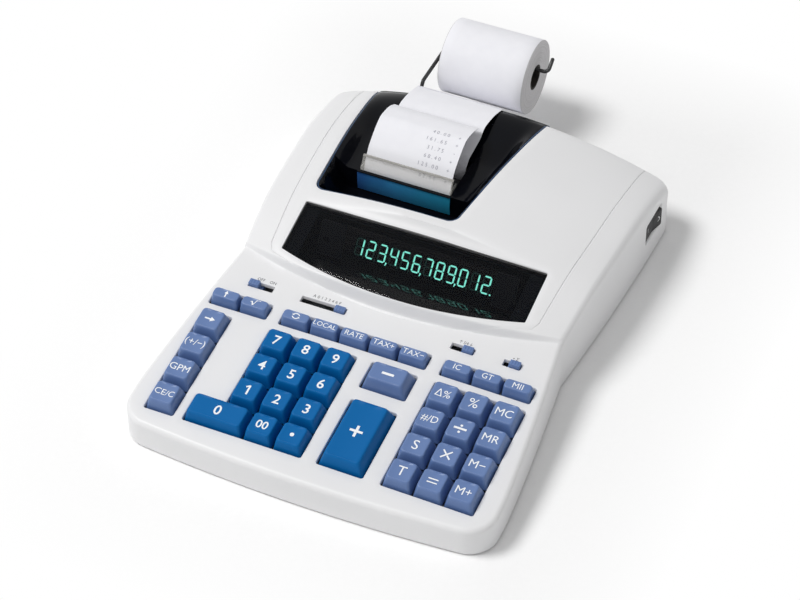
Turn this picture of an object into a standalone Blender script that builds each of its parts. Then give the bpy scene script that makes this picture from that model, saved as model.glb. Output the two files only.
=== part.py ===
"""Desktop printing calculator with a paper roll behind the case.

Metres, +Z up, X to the right, Y from the front edge to the roll. The origin lies on the
table under the middle of the object. Named sizes come first, and every shape is worked
out from them, so one size can be changed by itself.
"""

import bpy
import bmesh
import math
from mathutils import Matrix, Vector

# Case
case_length = 0.3086
case_height = 0.0605
case_wall = 0.0025
case_edge_radius = 0.003
front_half_width = 0.1165
waist_half_width = 0.1040
rear_half_width = 0.1135
widest_station = 0.0306
waist_station = 0.1465
front_corner_radius = 0.016
rear_corner_radius = 0.012
front_bow = 0.006
hump_bow = 0.0160
lip_run = 0.0028
deck_crown = 0.001
case_foot_gap = 0.001
front_taper_power_share = 1.25
rear_taper_power_share = 1.8

# Height of the rear half over the table, as shares of the case height, at stations that
# are shares of the way from the waist to the rear wall
centre_station_shares = (0.02, 0.235, 0.457, 0.704, 0.963, 1.0)
centre_height_shares = (0.735, 0.942, 1.0, 1.0, 0.930, 0.845)
side_station_shares = (0.02, 0.235, 0.457, 0.642, 0.796, 0.914, 1.0)
side_height_shares = (0.641, 0.772, 0.797, 0.802, 0.740, 0.655, 0.525)

# Keyboard plane, through the tops of the keys
key_top_front_height = 0.0257
key_plane_angle = math.radians(6.87)
key_pitch_x = 0.0190
key_pitch_y = 0.0195
key_stand_out = 0.0055
key_opening_margin = 0.0007

# Columns and rows of keys: first column of each group, rows from the front edge
left_column_x = -0.0947
number_block_x = -0.0508
operator_x = 0.0209
right_block_x = 0.0557
left_row_x = -0.0947
middle_row_x = -0.0485
right_row_x = 0.0553
front_row_y = 0.0253
function_row_y = 0.1050
switch_row_y = 0.1216

# Key caps
cap_gap = 0.0012
cap_top_width = 0.0140
cap_top_depth = 0.0136
cap_height = 0.0090
cap_corner = 0.0012
cap_dish = 0.0006
cap_top_back_shift = 0.0002
operator_width = 0.0280
operator_extra_height = 0.0015
function_cap_depth = 0.0104
function_top_depth = 0.0062
function_top_width = 0.0162
function_cap_drop = 0.0012
stem_width = 0.0050
key_travel = 0.0030
stem_reach = 0.0014
plus_row_share = 2.5
zero_columns = 2

# Slide switches: left end of each slot, slot length, knob place along the slot as a share
slot_width = 0.0047
knob_length = 0.0066
knob_width = 0.0040
knob_stand_out = 0.0021
knob_foot_margin = 0.0015
slot_start_x = (-0.0880, -0.0533, 0.0441, 0.0771)
slot_length = (0.0164, 0.0294, 0.0146, 0.0112)
knob_place_shares = (0.0, 1.0, 1.0, 1.0)

# Display
window_half_width = 0.0793
window_lip_gap = 0.0021
window_depth = 0.0356
window_bow = 0.0150
window_thickness = 0.0020
window_recess = 0.0004
display_length = 0.1300
display_depth = 0.0220
display_thickness = 0.0065
display_back_shift = 0.0145
display_lens_gap = 0.0006
display_angle = math.radians(60.0)

# Printer cover, a tray in the rear deck
cover_window_gap = 0.0105
cover_waist_margin = 0.0240
cover_rear_margin = 0.0267
cover_front_reach = 0.0190
cover_rear_reach = 0.0350
cover_corner_radius = 0.0075
cover_thickness = 0.0020
cover_well_height = 0.0320
cover_bank = 0.0110
cover_front_bank_share = 0.35
cover_ramp_share = 0.40
cover_sill_height = 0.0385
box_face_gap = 0.0009
box_top_height = 0.0470
box_face_run = 0.0008

# Printer
print_side_gap = 0.0175
paper_width = 0.0580
paper_thickness = 0.0003
platen_radius = 0.0110
platen_place_share = 0.42
platen_height = 0.0325
platen_margin = 0.0010
drum_radius = 0.0078
drum_angle = math.radians(50.0)
shaft_radius = 0.0020
frame_plate = 0.0020
frame_margin = 0.0030
web_gap = 0.0006

# Side view of the paper: places as shares of the way from the platen to the rear wall,
# heights as shares of the way from the top of the paper box to the top of the case
web_place_shares = (0.770, 0.594, 0.478, 0.384, 0.216, 0.095)
web_height_shares = (0.844, 0.933, 0.880, 0.607, 0.400, 0.237)
strip_place_shares = (0.134, 0.297, 0.412, 0.503, 0.590)
strip_height_shares = (1.000, 1.547, 1.524, 1.381, 1.090)

# Tear bar
tear_bar_length = 0.0608
tear_bar_thickness = 0.0010
tear_bar_rise = 0.0088
tear_bar_lean = 0.0050
tear_bar_height = 0.0462
tear_bar_arm = 0.0100
tear_bar_arm_height = 0.0035

# Paper roll and its holder
roll_radius = 0.02475
roll_bore_radius = 0.0085
roll_overhang = 0.0481
roll_height = 0.0438
roll_centre_x = -0.0285
wire_radius = 0.00125
wire_bend_radius = 0.0030
wire_left_gap = 0.0036
wire_right_reach = 0.0085
wire_tip_length = 0.0110
wire_socket_height = 0.0385
wire_socket_depth = 0.0120
wire_socket_wall = 0.0025
wire_step_y = 0.0075

# Floor pan and feet
pan_thickness = 0.0025
foot_radius = 0.0075
foot_height = 0.0015
foot_inset = 0.0200
post_radius = 0.0040
post_tip_radius = 0.0022
boss_radius = 0.0042

# Inner pieces
plate_thickness = 0.0015
board_thickness = 0.0016
board_margin = 0.0030
chip_height = 0.0012
chip_size = 0.0110
transformer_length = 0.0460
transformer_depth = 0.0380
transformer_height = 0.0340
transformer_coil = 0.0060
transformer_side_gap = 0.0085

# Power rocker
rocker_length = 0.0210
rocker_height = 0.0140
rocker_depth = 0.0070
rocker_rear_gap = 0.0330
rocker_z = 0.0250
rocker_swing = math.radians(16.0)
rocker_stand_out = 0.0006

# Cord gland
gland_radius = 0.0055
gland_length = 0.0060
gland_x = 0.0850
gland_z = 0.0170

# Fits
clearance = 0.0003
running_gap = 0.0005
overrun = 0.0200

# Facets
round_steps = 24
roll_steps = 40
inside_steps = 22
inside_columns = 10


# Places worked out from the sizes above
window_front = waist_station + window_lip_gap
window_back = window_front + window_depth
cover_front = window_back + cover_window_gap
rocker_y = case_length - rocker_rear_gap
print_left_x = cover_waist_margin + print_side_gap - waist_half_width
print_centre_x = print_left_x + paper_width / 2
print_right_x = print_left_x + paper_width
cover_front_left_x = cover_waist_margin - waist_half_width
cover_front_right_x = print_right_x + cover_front_reach
cover_rear_left_x = cover_rear_margin - rear_half_width
cover_rear_right_x = print_right_x + cover_rear_reach
cover_ramp_length = (case_length - cover_front) * cover_ramp_share
platen_y = cover_front + (case_length - cover_front) * platen_place_share
transformer_x = waist_half_width - case_wall - transformer_side_gap - transformer_length / 2
transformer_y = (window_back + case_length) / 2
roll_axis_y = case_length + roll_overhang
object_length = roll_axis_y + roll_radius
pan_bottom = foot_height
pan_top = pan_bottom + pan_thickness
plane_slope = math.tan(key_plane_angle)
deck_drop = key_stand_out
deck_under = key_stand_out + case_wall + deck_crown
plate_top_drop = cap_height + key_travel + running_gap
plate_under_drop = plate_top_drop + plate_thickness
stem_drop = plate_under_drop + stem_reach
board_top_drop = stem_drop + key_travel + running_gap
board_under_drop = board_top_drop + board_thickness
frame_left_x = print_left_x - 2 * cap_gap - frame_plate
frame_right_x = print_right_x + 2 * cap_gap + frame_plate
paper_wrap_radius = platen_radius + running_gap + paper_thickness
paper_exit_y = platen_y - paper_wrap_radius
paper_entry_y = platen_y + paper_wrap_radius
tear_bar_low_y = paper_exit_y - 1.5 * tear_bar_thickness - web_gap
tear_bar_front_y = tear_bar_low_y - tear_bar_thickness
box_face_y = tear_bar_front_y - running_gap - box_face_run - box_face_gap
cover_front_bank = (box_face_y - cover_front) * cover_front_bank_share
drum_distance = paper_wrap_radius + running_gap + drum_radius
drum_y = platen_y - drum_distance * math.cos(drum_angle)
drum_height = platen_height - drum_distance * math.sin(drum_angle)
wire_axis_height = roll_height + roll_bore_radius - wire_radius - running_gap
wire_left_x = roll_centre_x - paper_width / 2 - wire_left_gap
wire_right_x = roll_centre_x + paper_width / 2 + wire_right_reach


def clear_scene():
    for item in list(bpy.data.objects):
        bpy.data.objects.remove(item, do_unlink=True)


def new_collection(name):
    collection = bpy.data.collections.new(name)
    bpy.context.scene.collection.children.link(collection)
    return collection


clear_scene()
parts = new_collection("printing_calculator")
cutters = new_collection("cutters")


def new_empty(name, place, angle_x=0.0, parent=None):
    item = bpy.data.objects.new(name, None)
    parts.objects.link(item)
    item.parent = parent
    item.location = place
    item.rotation_euler = (angle_x, 0.0, 0.0)
    return item


# The case is drawn from its front edge; this empty moves it over the origin
root = new_empty("calculator_origin", (0.0, -object_length / 2, 0.0))
keyboard = new_empty("keyboard_plane", (0.0, 0.0, key_top_front_height), key_plane_angle, root)


def srgb(code):
    values = [int(code[i:i + 2], 16) / 255 for i in (0, 2, 4)]
    return [v / 12.92 if v <= 0.04045 else ((v + 0.055) / 1.055) ** 2.4 for v in values] + [1.0]


def make_material(name, code, roughness, metallic=0.0):
    material = bpy.data.materials.new(name)
    material.use_nodes = True
    shader = material.node_tree.nodes["Principled BSDF"]
    shader.inputs["Base Color"].default_value = srgb(code)
    shader.inputs["Roughness"].default_value = roughness
    shader.inputs["Metallic"].default_value = metallic
    return material


def add_object(name, mesh, material=None, parent=None, place=(0.0, 0.0, 0.0)):
    item = bpy.data.objects.new(name, mesh)
    parts.objects.link(item)
    if material is not None:
        mesh.materials.clear()
        mesh.materials.append(material)
    item.parent = parent or root
    item.location = place
    return item


def add_tool(name, mesh, parent=None, place=(0.0, 0.0, 0.0), turn=(0.0, 0.0, 0.0)):
    item = bpy.data.objects.new(name, mesh)
    cutters.objects.link(item)
    item.parent = parent or root
    item.location = place
    item.rotation_euler = turn
    item.hide_render = True
    item.display_type = "WIRE"
    return item


def apply_tool(target, tool, operation="DIFFERENCE"):
    step = target.modifiers.new(tool.name, "BOOLEAN")
    step.operation = operation
    step.solver = "EXACT"
    step.object = tool
    return step


def finish_mesh(shape, name, smooth_angle=math.radians(30)):
    bmesh.ops.recalc_face_normals(shape, faces=shape.faces)
    mesh = bpy.data.meshes.new(name)
    shape.to_mesh(mesh)
    shape.free()
    mesh.shade_smooth()
    mesh.set_sharp_from_angle(angle=smooth_angle)
    return mesh


def box_mesh(name, size, centre=(0.0, 0.0, 0.0)):
    shape = bmesh.new()
    matrix = Matrix.Translation(centre) @ Matrix.Diagonal((*size, 1.0))
    bmesh.ops.create_cube(shape, size=1.0, matrix=matrix)
    return finish_mesh(shape, name)


def cylinder_mesh(name, radius, low, high, centre=(0.0, 0.0), steps=round_steps):
    shape = bmesh.new()
    place = Matrix.Translation((centre[0], centre[1], (low + high) / 2))
    bmesh.ops.create_cone(shape, cap_ends=True, segments=steps, radius1=radius,
                          radius2=radius, depth=high - low, matrix=place)
    return finish_mesh(shape, name)


def ring_mesh(name, rings):
    """Closed loft through rings that all have the same number of points."""
    shape = bmesh.new()
    loops = [[shape.verts.new(point) for point in ring] for ring in rings]
    count = len(loops[0])
    for lower, upper in zip(loops, loops[1:]):
        for i in range(count):
            j = (i + 1) % count
            shape.faces.new((lower[i], lower[j], upper[j], upper[i]))
    shape.faces.new(loops[0][::-1])
    shape.faces.new(loops[-1])
    return finish_mesh(shape, name)


def outline_mesh(name, points, low, high):
    """Flat outline between two heights, from a filled 2D curve."""
    curve = bpy.data.curves.new(name, "CURVE")
    curve.dimensions = "2D"
    curve.fill_mode = "BOTH"
    curve.extrude = (high - low) / 2
    spline = curve.splines.new("POLY")
    spline.points.add(len(points) - 1)
    for target, (x, y) in zip(spline.points, points):
        target.co = (x, y, 0.0, 1.0)
    spline.use_cyclic_u = True
    holder = bpy.data.objects.new(name, curve)
    parts.objects.link(holder)
    graph = bpy.context.evaluated_depsgraph_get()
    mesh = bpy.data.meshes.new_from_object(holder.evaluated_get(graph))
    bpy.data.objects.remove(holder, do_unlink=True)
    shape = bmesh.new()
    shape.from_mesh(mesh)
    bmesh.ops.remove_doubles(shape, verts=shape.verts, dist=clearance / 100)
    bmesh.ops.translate(shape, verts=shape.verts, vec=(0.0, 0.0, (high + low) / 2))
    bpy.data.meshes.remove(mesh)
    return finish_mesh(shape, name)


def blend(t):
    t = min(max(t, 0.0), 1.0)
    return t * t * (3 - 2 * t)


def smooth_table(value, places, heights):
    """Smooth curve through the points of a table (cubic with averaged slopes)."""
    if value <= places[0]:
        return heights[0]
    if value >= places[-1]:
        return heights[-1]
    k = max(i for i in range(len(places) - 1) if places[i] <= value)

    def slope(i):
        a = max(i - 1, 0)
        b = min(i + 1, len(places) - 1)
        return (heights[b] - heights[a]) / (places[b] - places[a])

    span = places[k + 1] - places[k]
    t = (value - places[k]) / span
    a = heights[k]
    b = heights[k + 1]
    return (a * (2 * t ** 3 - 3 * t ** 2 + 1) + slope(k) * span * (t ** 3 - 2 * t ** 2 + t)
            + b * (3 * t ** 2 - 2 * t ** 3) + slope(k + 1) * span * (t ** 3 - t ** 2))


# The case's outer surface

def half_width(station):
    """Half of the case's width at a distance from the front, before the corners."""
    if station < widest_station:
        return front_half_width
    if station < waist_station:
        t = (station - widest_station) / (waist_station - widest_station)
        return front_half_width - (front_half_width - waist_half_width) * t ** front_taper_power_share
    t = min((station - waist_station) / (case_length - waist_station), 1.0)
    rise = 1 - (1 - t) ** rear_taper_power_share
    return waist_half_width + (rear_half_width - waist_half_width) * rise


def bow(station):
    """How far a line across the case bends forward at its middle."""
    if station < waist_station:
        return front_bow + (hump_bow - front_bow) * blend(station / waist_station)
    return hump_bow * (1 - blend((station - waist_station) / (window_back - waist_station)))


def surface_height(x, station):
    """Height of the outer surface at a place across a station line."""
    u = min(abs(x) / half_width(station), 1.0)
    y = station - bow(station) * (1 - u * u)
    deck = key_top_front_height + plane_slope * y - deck_drop / math.cos(key_plane_angle)
    deck -= deck_crown * u * u
    if station <= waist_station:
        return deck
    t = (station - waist_station) / (case_length - waist_station)
    centre = case_height * smooth_table(t, centre_station_shares, centre_height_shares)
    side = case_height * smooth_table(t, side_station_shares, side_height_shares)
    hump = centre - (centre - side) * u * u
    return deck + (hump - deck) * blend((station - waist_station) / lip_run)


def station_at(x, y):
    """Station line that passes through a point of the plan."""
    station = y
    for _ in range(12):
        u = min(abs(x) / half_width(station), 1.0)
        station = y + bow(station) * (1 - u * u)
    return station


def height_at(x, y):
    return surface_height(x, station_at(x, y))


def corner_cut(distance, radius):
    """How far a rounded corner draws the side in at a distance from the end."""
    if distance >= radius:
        return 0.0
    return radius - math.sqrt(max(radius ** 2 - (radius - distance) ** 2, 0.0))


def station_list(first, last, edge, count):
    """Station lines, closer together at the rounded ends and at the lip."""
    lines = [first, first + 0.3 * edge, first + edge]
    lines += [first + share * front_corner_radius for share in (0.4, 0.7, 1.0)]
    lines += [last, last - 0.3 * edge, last - edge]
    lines += [last - share * rear_corner_radius for share in (0.45, 1.0)]
    lines += [waist_station + share * lip_run for share in (0.0, 0.35, 0.65, 1.0)]
    gap = (last - first) / count
    lines += [first + gap * i for i in range(1, count)]
    kept = []
    for line in sorted(lines):
        if first <= line <= last and (not kept or line - kept[-1] > 0.2 * edge):
            kept.append(line)
    kept[-1] = last
    return kept


def case_slab(name, inset, drop, low, edge, count, columns):
    """Closed solid under the case's surface, drawn in by an inset and lowered by a drop."""
    first = front_bow + inset
    last = case_length - inset
    stations = station_list(first, last, edge, count)
    grid = []
    for station in stations:
        front_cut = corner_cut(station - first, max(front_corner_radius - inset, edge))
        rear_cut = corner_cut(last - station, max(rear_corner_radius - inset, edge))
        side = half_width(station) - inset - max(front_cut, rear_cut)
        shares = [2 * i / columns - 1 for i in range(columns + 1)]
        across = [(-side, edge), (-side + 0.3 * edge, 0.3 * edge)]
        across += [(share * (side - edge), 0.0) for share in shares]
        across += [(side - 0.3 * edge, 0.3 * edge), (side, edge)]
        end = min(station - first, last - station)
        end_drop = edge if end < 0.1 * edge else (0.3 * edge if end < 0.8 * edge else 0.0)
        row = []
        for x, side_drop in across:
            u = min(abs(x) / half_width(station), 1.0)
            y = station - bow(station) * (1 - u * u)
            z = surface_height(x, station) - drop - max(side_drop, end_drop)
            row.append((x, y, z))
        grid.append(row)
    shape = bmesh.new()
    top = [[shape.verts.new(point) for point in row] for row in grid]
    rows = len(grid)
    width = len(grid[0])

    def lower(j, i):
        x, y, _ = grid[j][i]
        return shape.verts.new((x, y, low))

    left = [lower(j, 0) for j in range(rows)]
    right = [lower(j, width - 1) for j in range(rows)]
    front = [left[0]] + [lower(0, i) for i in range(1, width - 1)] + [right[0]]
    back = [left[-1]] + [lower(rows - 1, i) for i in range(1, width - 1)] + [right[-1]]
    for j in range(rows - 1):
        for i in range(width - 1):
            shape.faces.new((top[j][i], top[j][i + 1], top[j + 1][i + 1], top[j + 1][i]))
        shape.faces.new((left[j], top[j][0], top[j + 1][0], left[j + 1]))
        shape.faces.new((top[j][-1], right[j], right[j + 1], top[j + 1][-1]))
    for i in range(width - 1):
        shape.faces.new((front[i], front[i + 1], top[0][i + 1], top[0][i]))
        shape.faces.new((top[-1][i], top[-1][i + 1], back[i + 1], back[i]))
    shape.faces.new(front[::-1] + left[1:-1] + back + right[1:-1][::-1])
    return finish_mesh(shape, name, math.radians(35))


def case_outline(inset):
    """Plan outline of the case, drawn in by an inset, as one closed run of points."""
    first = front_bow + inset
    last = case_length - inset
    stations = station_list(first, last, case_edge_radius / 2, inside_steps)
    side = []
    for station in stations:
        front_cut = corner_cut(station - first, front_corner_radius - inset)
        rear_cut = corner_cut(last - station, rear_corner_radius - inset)
        x = half_width(station) - inset - max(front_cut, rear_cut)
        u = x / half_width(station)
        side.append((x, station - bow(station) * (1 - u * u)))
    front = []
    across = inside_columns
    for i in range(1, across):
        x = -side[0][0] + 2 * side[0][0] * i / across
        u = x / half_width(first)
        front.append((x, first - bow(first) * (1 - u * u)))
    return front + side + [(-x, y) for x, y in side[::-1]]


# Key groups and their openings

def column_x(start, column):
    return start + key_pitch_x * column


def row_y(row):
    """Rows count from the front row towards the display."""
    return front_row_y + key_pitch_y * row


cap_width = key_pitch_x - cap_gap
cap_depth = key_pitch_y - cap_gap
zero_width = cap_width + key_pitch_x * (zero_columns - 1)
zero_x = column_x(number_block_x, -0.5 * (zero_columns - 1))
plus_depth = cap_depth + key_pitch_y * (plus_row_share - 1)
plus_y = row_y(0.5 * (plus_row_share - 1))


def cap_ring(width, depth, corner, height, shift=0.0):
    x = width / 2
    y = depth / 2
    points = [(x - corner, -y), (x, -y + corner), (x, y - corner), (x - corner, y)]
    points += [(-px, py) for px, py in points[::-1]]
    return [(px, py + shift, height) for px, py in points]


def key_mesh(name, width, depth, top_width, top_depth, rise=0.0):
    """Tapered cap with a dished top and the stem that slides in the guide plate."""
    stem = cap_ring(stem_width, stem_width, cap_dish, -stem_drop)
    stem_top = cap_ring(stem_width, stem_width, cap_dish, -cap_height)
    skirt = cap_ring(width, depth, cap_corner, -cap_height)
    shift = cap_top_back_shift
    shoulder = cap_ring(top_width + cap_dish, top_depth + cap_dish, cap_corner,
                        rise - cap_dish, shift)
    rim = cap_ring(top_width - cap_dish, top_depth - cap_dish, cap_corner, rise, shift)
    dish = cap_ring(top_width * 0.55, top_depth * 0.55, cap_corner, rise - cap_dish, shift)
    return ring_mesh(name, [stem, stem_top, skirt, shoulder, rim, dish])


def standard_keys():
    """Names, columns and rows of the single-width caps."""
    number = [("key_00", 1, 0), ("key_point", 2, 0)]
    number += [("key_%d" % (3 * row + column + 1), column, row + 1)
               for row in range(3) for column in range(3)]
    keys = [(name, column_x(number_block_x, column), row_y(row), "blue")
            for name, column, row in number]
    left = ("key_clear", "key_margin", "key_sign", "key_backspace")
    keys += [(name, left_column_x, row_y(row), "slate") for row, name in enumerate(left)]
    right = (("key_total", "key_equals", "key_memory_plus"),
             ("key_subtotal", "key_multiply", "key_memory_minus"),
             ("key_count", "key_divide", "key_memory_recall"),
             ("key_delta", "key_percent", "key_memory_clear"))
    for row, names in enumerate(right):
        for column, name in enumerate(names):
            keys.append((name, column_x(right_block_x, column), row_y(row), "slate"))
    return keys


def function_keys():
    rows = ((left_row_x, ("key_feed", "key_root")),
            (middle_row_x, ("key_exchange", "key_local", "key_rate", "key_tax_plus",
                            "key_tax_minus")),
            (right_row_x, ("key_item_count", "key_grand_total", "key_memory_two")))
    return [(name, column_x(start, i), function_row_y)
            for start, names in rows for i, name in enumerate(names)]


def build_keys(materials):
    """All caps, each on its own slide axis square to the keyboard plane."""
    standard = key_mesh("standard_cap", cap_width, cap_depth, cap_top_width, cap_top_depth)
    slate = standard.copy()
    for name, x, y, colour in standard_keys():
        mesh = standard if colour == "blue" else slate
        add_object(name, mesh, materials["key_" + colour], keyboard, (x, y, 0.0))
    side_slope = cap_width - cap_top_width
    end_slope = cap_depth - cap_top_depth
    zero = key_mesh("zero_cap", zero_width, cap_depth, zero_width - side_slope, cap_top_depth)
    add_object("key_0", zero, materials["key_blue"], keyboard, (zero_x, row_y(0), 0.0))
    wide_slope = side_slope + 2 * operator_extra_height
    minus = key_mesh("minus_cap", operator_width, cap_depth, operator_width - wide_slope,
                     cap_top_depth - operator_extra_height, operator_extra_height)
    add_object("key_minus", minus, materials["key_slate"], keyboard,
               (operator_x, row_y(3), 0.0))
    plus = key_mesh("plus_cap", operator_width, plus_depth, operator_width - wide_slope,
                    plus_depth - end_slope - operator_extra_height, operator_extra_height)
    add_object("key_plus", plus, materials["key_blue"], keyboard, (operator_x, plus_y, 0.0))
    bar = key_mesh("function_cap", cap_width, function_cap_depth, function_top_width,
                   function_top_depth, -function_cap_drop)
    for name, x, y in function_keys():
        add_object(name, bar, materials["key_slate"], keyboard, (x, y, 0.0))


def key_openings():
    """Openings in the deck as (name, left, right, front, back) in the keyboard plane."""
    side = cap_width / 2 + key_opening_margin
    end = cap_depth / 2 + key_opening_margin
    bar = function_cap_depth / 2 + key_opening_margin
    wide = operator_width / 2 + key_opening_margin
    tall = plus_depth / 2 + key_opening_margin
    front = row_y(0) - end
    back = row_y(3) + end
    zero_left = zero_x - zero_width / 2 - key_opening_margin
    last = column_x(right_block_x, 2) + side
    return (("left_column", left_column_x - side, left_column_x + side, front, back),
            ("number_block", number_block_x - side, column_x(number_block_x, 2) + side,
             front, back),
            ("zero", zero_left, number_block_x, front, row_y(0) + end),
            ("minus", operator_x - wide, operator_x + wide, row_y(3) - end, back),
            ("plus", operator_x - wide, operator_x + wide, plus_y - tall, plus_y + tall),
            ("right_block", right_block_x - side, last, front, back),
            ("left_row", left_row_x - side, column_x(left_row_x, 1) + side,
             function_row_y - bar, function_row_y + bar),
            ("middle_row", middle_row_x - side, column_x(middle_row_x, 4) + side,
             function_row_y - bar, function_row_y + bar),
            ("right_row", right_row_x - side, column_x(right_row_x, 2) + side,
             function_row_y - bar, function_row_y + bar))


def slots():
    """Slot and knob of each slide switch: (start, length, knob centre at rest)."""
    rows = []
    for start, length, share in zip(slot_start_x, slot_length, knob_place_shares):
        travel = length - knob_length - 2 * running_gap
        knob = start + running_gap + knob_length / 2 + share * travel
        rows.append((start, length, knob, travel))
    return rows


def cut_deck(target):
    """Key openings and switch slots, cut square to the keyboard plane."""
    low = -(deck_under + overrun / 4)
    high = overrun / 4
    for name, left, right, front, back in key_openings():
        size = (right - left, back - front, high - low)
        centre = ((left + right) / 2, (front + back) / 2, (low + high) / 2)
        apply_tool(target, add_tool("cut_" + name, box_mesh("cut_" + name, size), keyboard,
                                    centre))
    for index, (start, length, _, _) in enumerate(slots()):
        name = "cut_slot_%d" % (index + 1)
        size = (length, slot_width, high - low)
        centre = (start + length / 2, switch_row_y, (low + high) / 2)
        apply_tool(target, add_tool(name, box_mesh(name, size), keyboard, centre))


def window_outline(margin):
    """Window opening in plan: straight sides, bowed front edge."""
    half = window_half_width - margin
    front = []
    steps = 12
    for i in range(steps + 1):
        x = -half + 2 * half * i / steps
        y = window_front + margin - window_bow * (1 - (x / window_half_width) ** 2)
        front.append((x, y))
    return front + [(half, window_back - margin), (-half, window_back - margin)]


def cover_side(share):
    """Left and right edge of the printer cover at a share of its length."""
    left = cover_front_left_x + (cover_rear_left_x - cover_front_left_x) * share
    right = cover_front_right_x + (cover_rear_right_x - cover_front_right_x) * share
    return left, right


def cover_outline(margin, beyond):
    """Cover in plan: front corners rounded, open past the rear wall by the length beyond."""
    length = case_length - cover_front
    front = cover_front + margin
    left, right = cover_side(0.0)
    left += margin
    right -= margin
    radius = cover_corner_radius - margin
    rear_left, rear_right = cover_side((length + beyond) / length)
    points = []
    corner_steps = 5
    for i in range(corner_steps + 1):
        angle = math.pi * (1 + 0.5 * i / corner_steps)
        points.append((left + radius * (1 + math.cos(angle)),
                       front + radius * (1 + math.sin(angle))))
    for i in range(corner_steps + 1):
        angle = math.pi * (1.5 + 0.5 * i / corner_steps)
        points.append((right - radius * (1 - math.cos(angle)),
                       front + radius * (1 + math.sin(angle))))
    points.append((rear_right - margin, case_length + beyond))
    points.append((rear_left + margin, case_length + beyond))
    return points


def tray_height(x, y):
    """Top of the printer cover: rim level at its edges, a well in front of the paper box."""
    share = min(max((y - cover_front) / (case_length - cover_front), 0.0), 1.0)
    left, right = cover_side(share)
    rim = height_at(x, min(y, case_length - case_edge_radius)) - clearance
    floor = box_top_height
    if y < box_face_y + box_face_run:
        rise = max(y - box_face_y, 0.0) / box_face_run
        floor = cover_well_height + (box_top_height - cover_well_height) * rise
    side = blend(min(x - left, right - x) / cover_bank)
    front = blend((y - cover_front) / cover_front_bank)
    rear = blend((case_length - case_edge_radius - y) / cover_ramp_length)
    return rim - (rim - floor) * side * front * rear


def tray_under(x, y):
    """Underside of the tray: its top, moved inwards by the thickness in every direction."""
    lowest = tray_height(x, y) - cover_thickness
    for k in range(8):
        angle = math.pi * k / 4
        for share, drop_share in ((0.6, 0.8), (1.0, 0.0)):
            reach = share * cover_thickness
            side = tray_height(x + reach * math.cos(angle), y + reach * math.sin(angle))
            lowest = min(lowest, side - drop_share * cover_thickness)
    return lowest


def spread(first, last, count):
    return [first + (last - first) * i / count for i in range(count + 1)]


def tray_slab(name, height, inset, low):
    """Closed solid under a tray surface; its rear face follows the rear wall."""
    length = case_length - cover_front
    last = case_length - inset
    face = box_face_y + inset
    bank = cover_front + cover_front_bank
    lines = [cover_front - cap_gap] + spread(cover_front, bank, 5)
    lines += spread(bank, face, 2)[1:] + [face + box_face_run]
    lines += spread(face + box_face_run, last - case_edge_radius, 9)[1:] + [last]
    shape = bmesh.new()
    top = []
    base = []
    for y in lines:
        left, right = cover_side((y - cover_front) / length)
        across = [left - cap_gap] + spread(left, left + cover_bank, 5)
        across += spread(left + cover_bank, right - cover_bank, 6)[1:]
        across += spread(right - cover_bank, right, 5)[1:] + [right + cap_gap]
        edge = case_edge_radius if y == last else 0.0
        top.append([shape.verts.new((x, y, height(x, y) - edge)) for x in across])
        base.append([shape.verts.new((x, y, low)) for x in across])
    close_grid(shape, top, base)
    return finish_mesh(shape, name, math.radians(35))


def close_grid(shape, top, base):
    """Faces of a slab between two grids of corners, with its four sides."""
    rows = len(top) - 1
    columns = len(top[0]) - 1
    for j in range(rows):
        for i in range(columns):
            shape.faces.new((top[j][i], top[j][i + 1], top[j + 1][i + 1], top[j + 1][i]))
            shape.faces.new((base[j][i], base[j + 1][i], base[j + 1][i + 1], base[j][i + 1]))
        shape.faces.new((base[j][0], top[j][0], top[j + 1][0], base[j + 1][0]))
        shape.faces.new((base[j][-1], base[j + 1][-1], top[j + 1][-1], top[j][-1]))
    for i in range(columns):
        shape.faces.new((base[0][i], base[0][i + 1], top[0][i + 1], top[0][i]))
        shape.faces.new((base[-1][i], top[-1][i], top[-1][i + 1], base[-1][i + 1]))


def foot_places():
    """Feet, under the corners of the floor pan."""
    front = front_half_width - case_wall - foot_inset
    rear = rear_half_width - case_wall - foot_inset
    return ((-front, foot_inset + front_bow), (front, foot_inset + front_bow),
            (-rear, case_length - foot_inset), (rear, case_length - foot_inset))


def boss_places():
    """Screw bosses that join the two halves of the case."""
    rear = rear_half_width - case_wall - 2 * boss_radius
    waist = waist_half_width - case_wall - 2 * boss_radius
    behind = window_back + 2 * boss_radius
    return ((-rear, case_length - 3 * boss_radius), (rear, case_length - 3 * boss_radius),
            (-waist, behind), (waist, behind))


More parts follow.
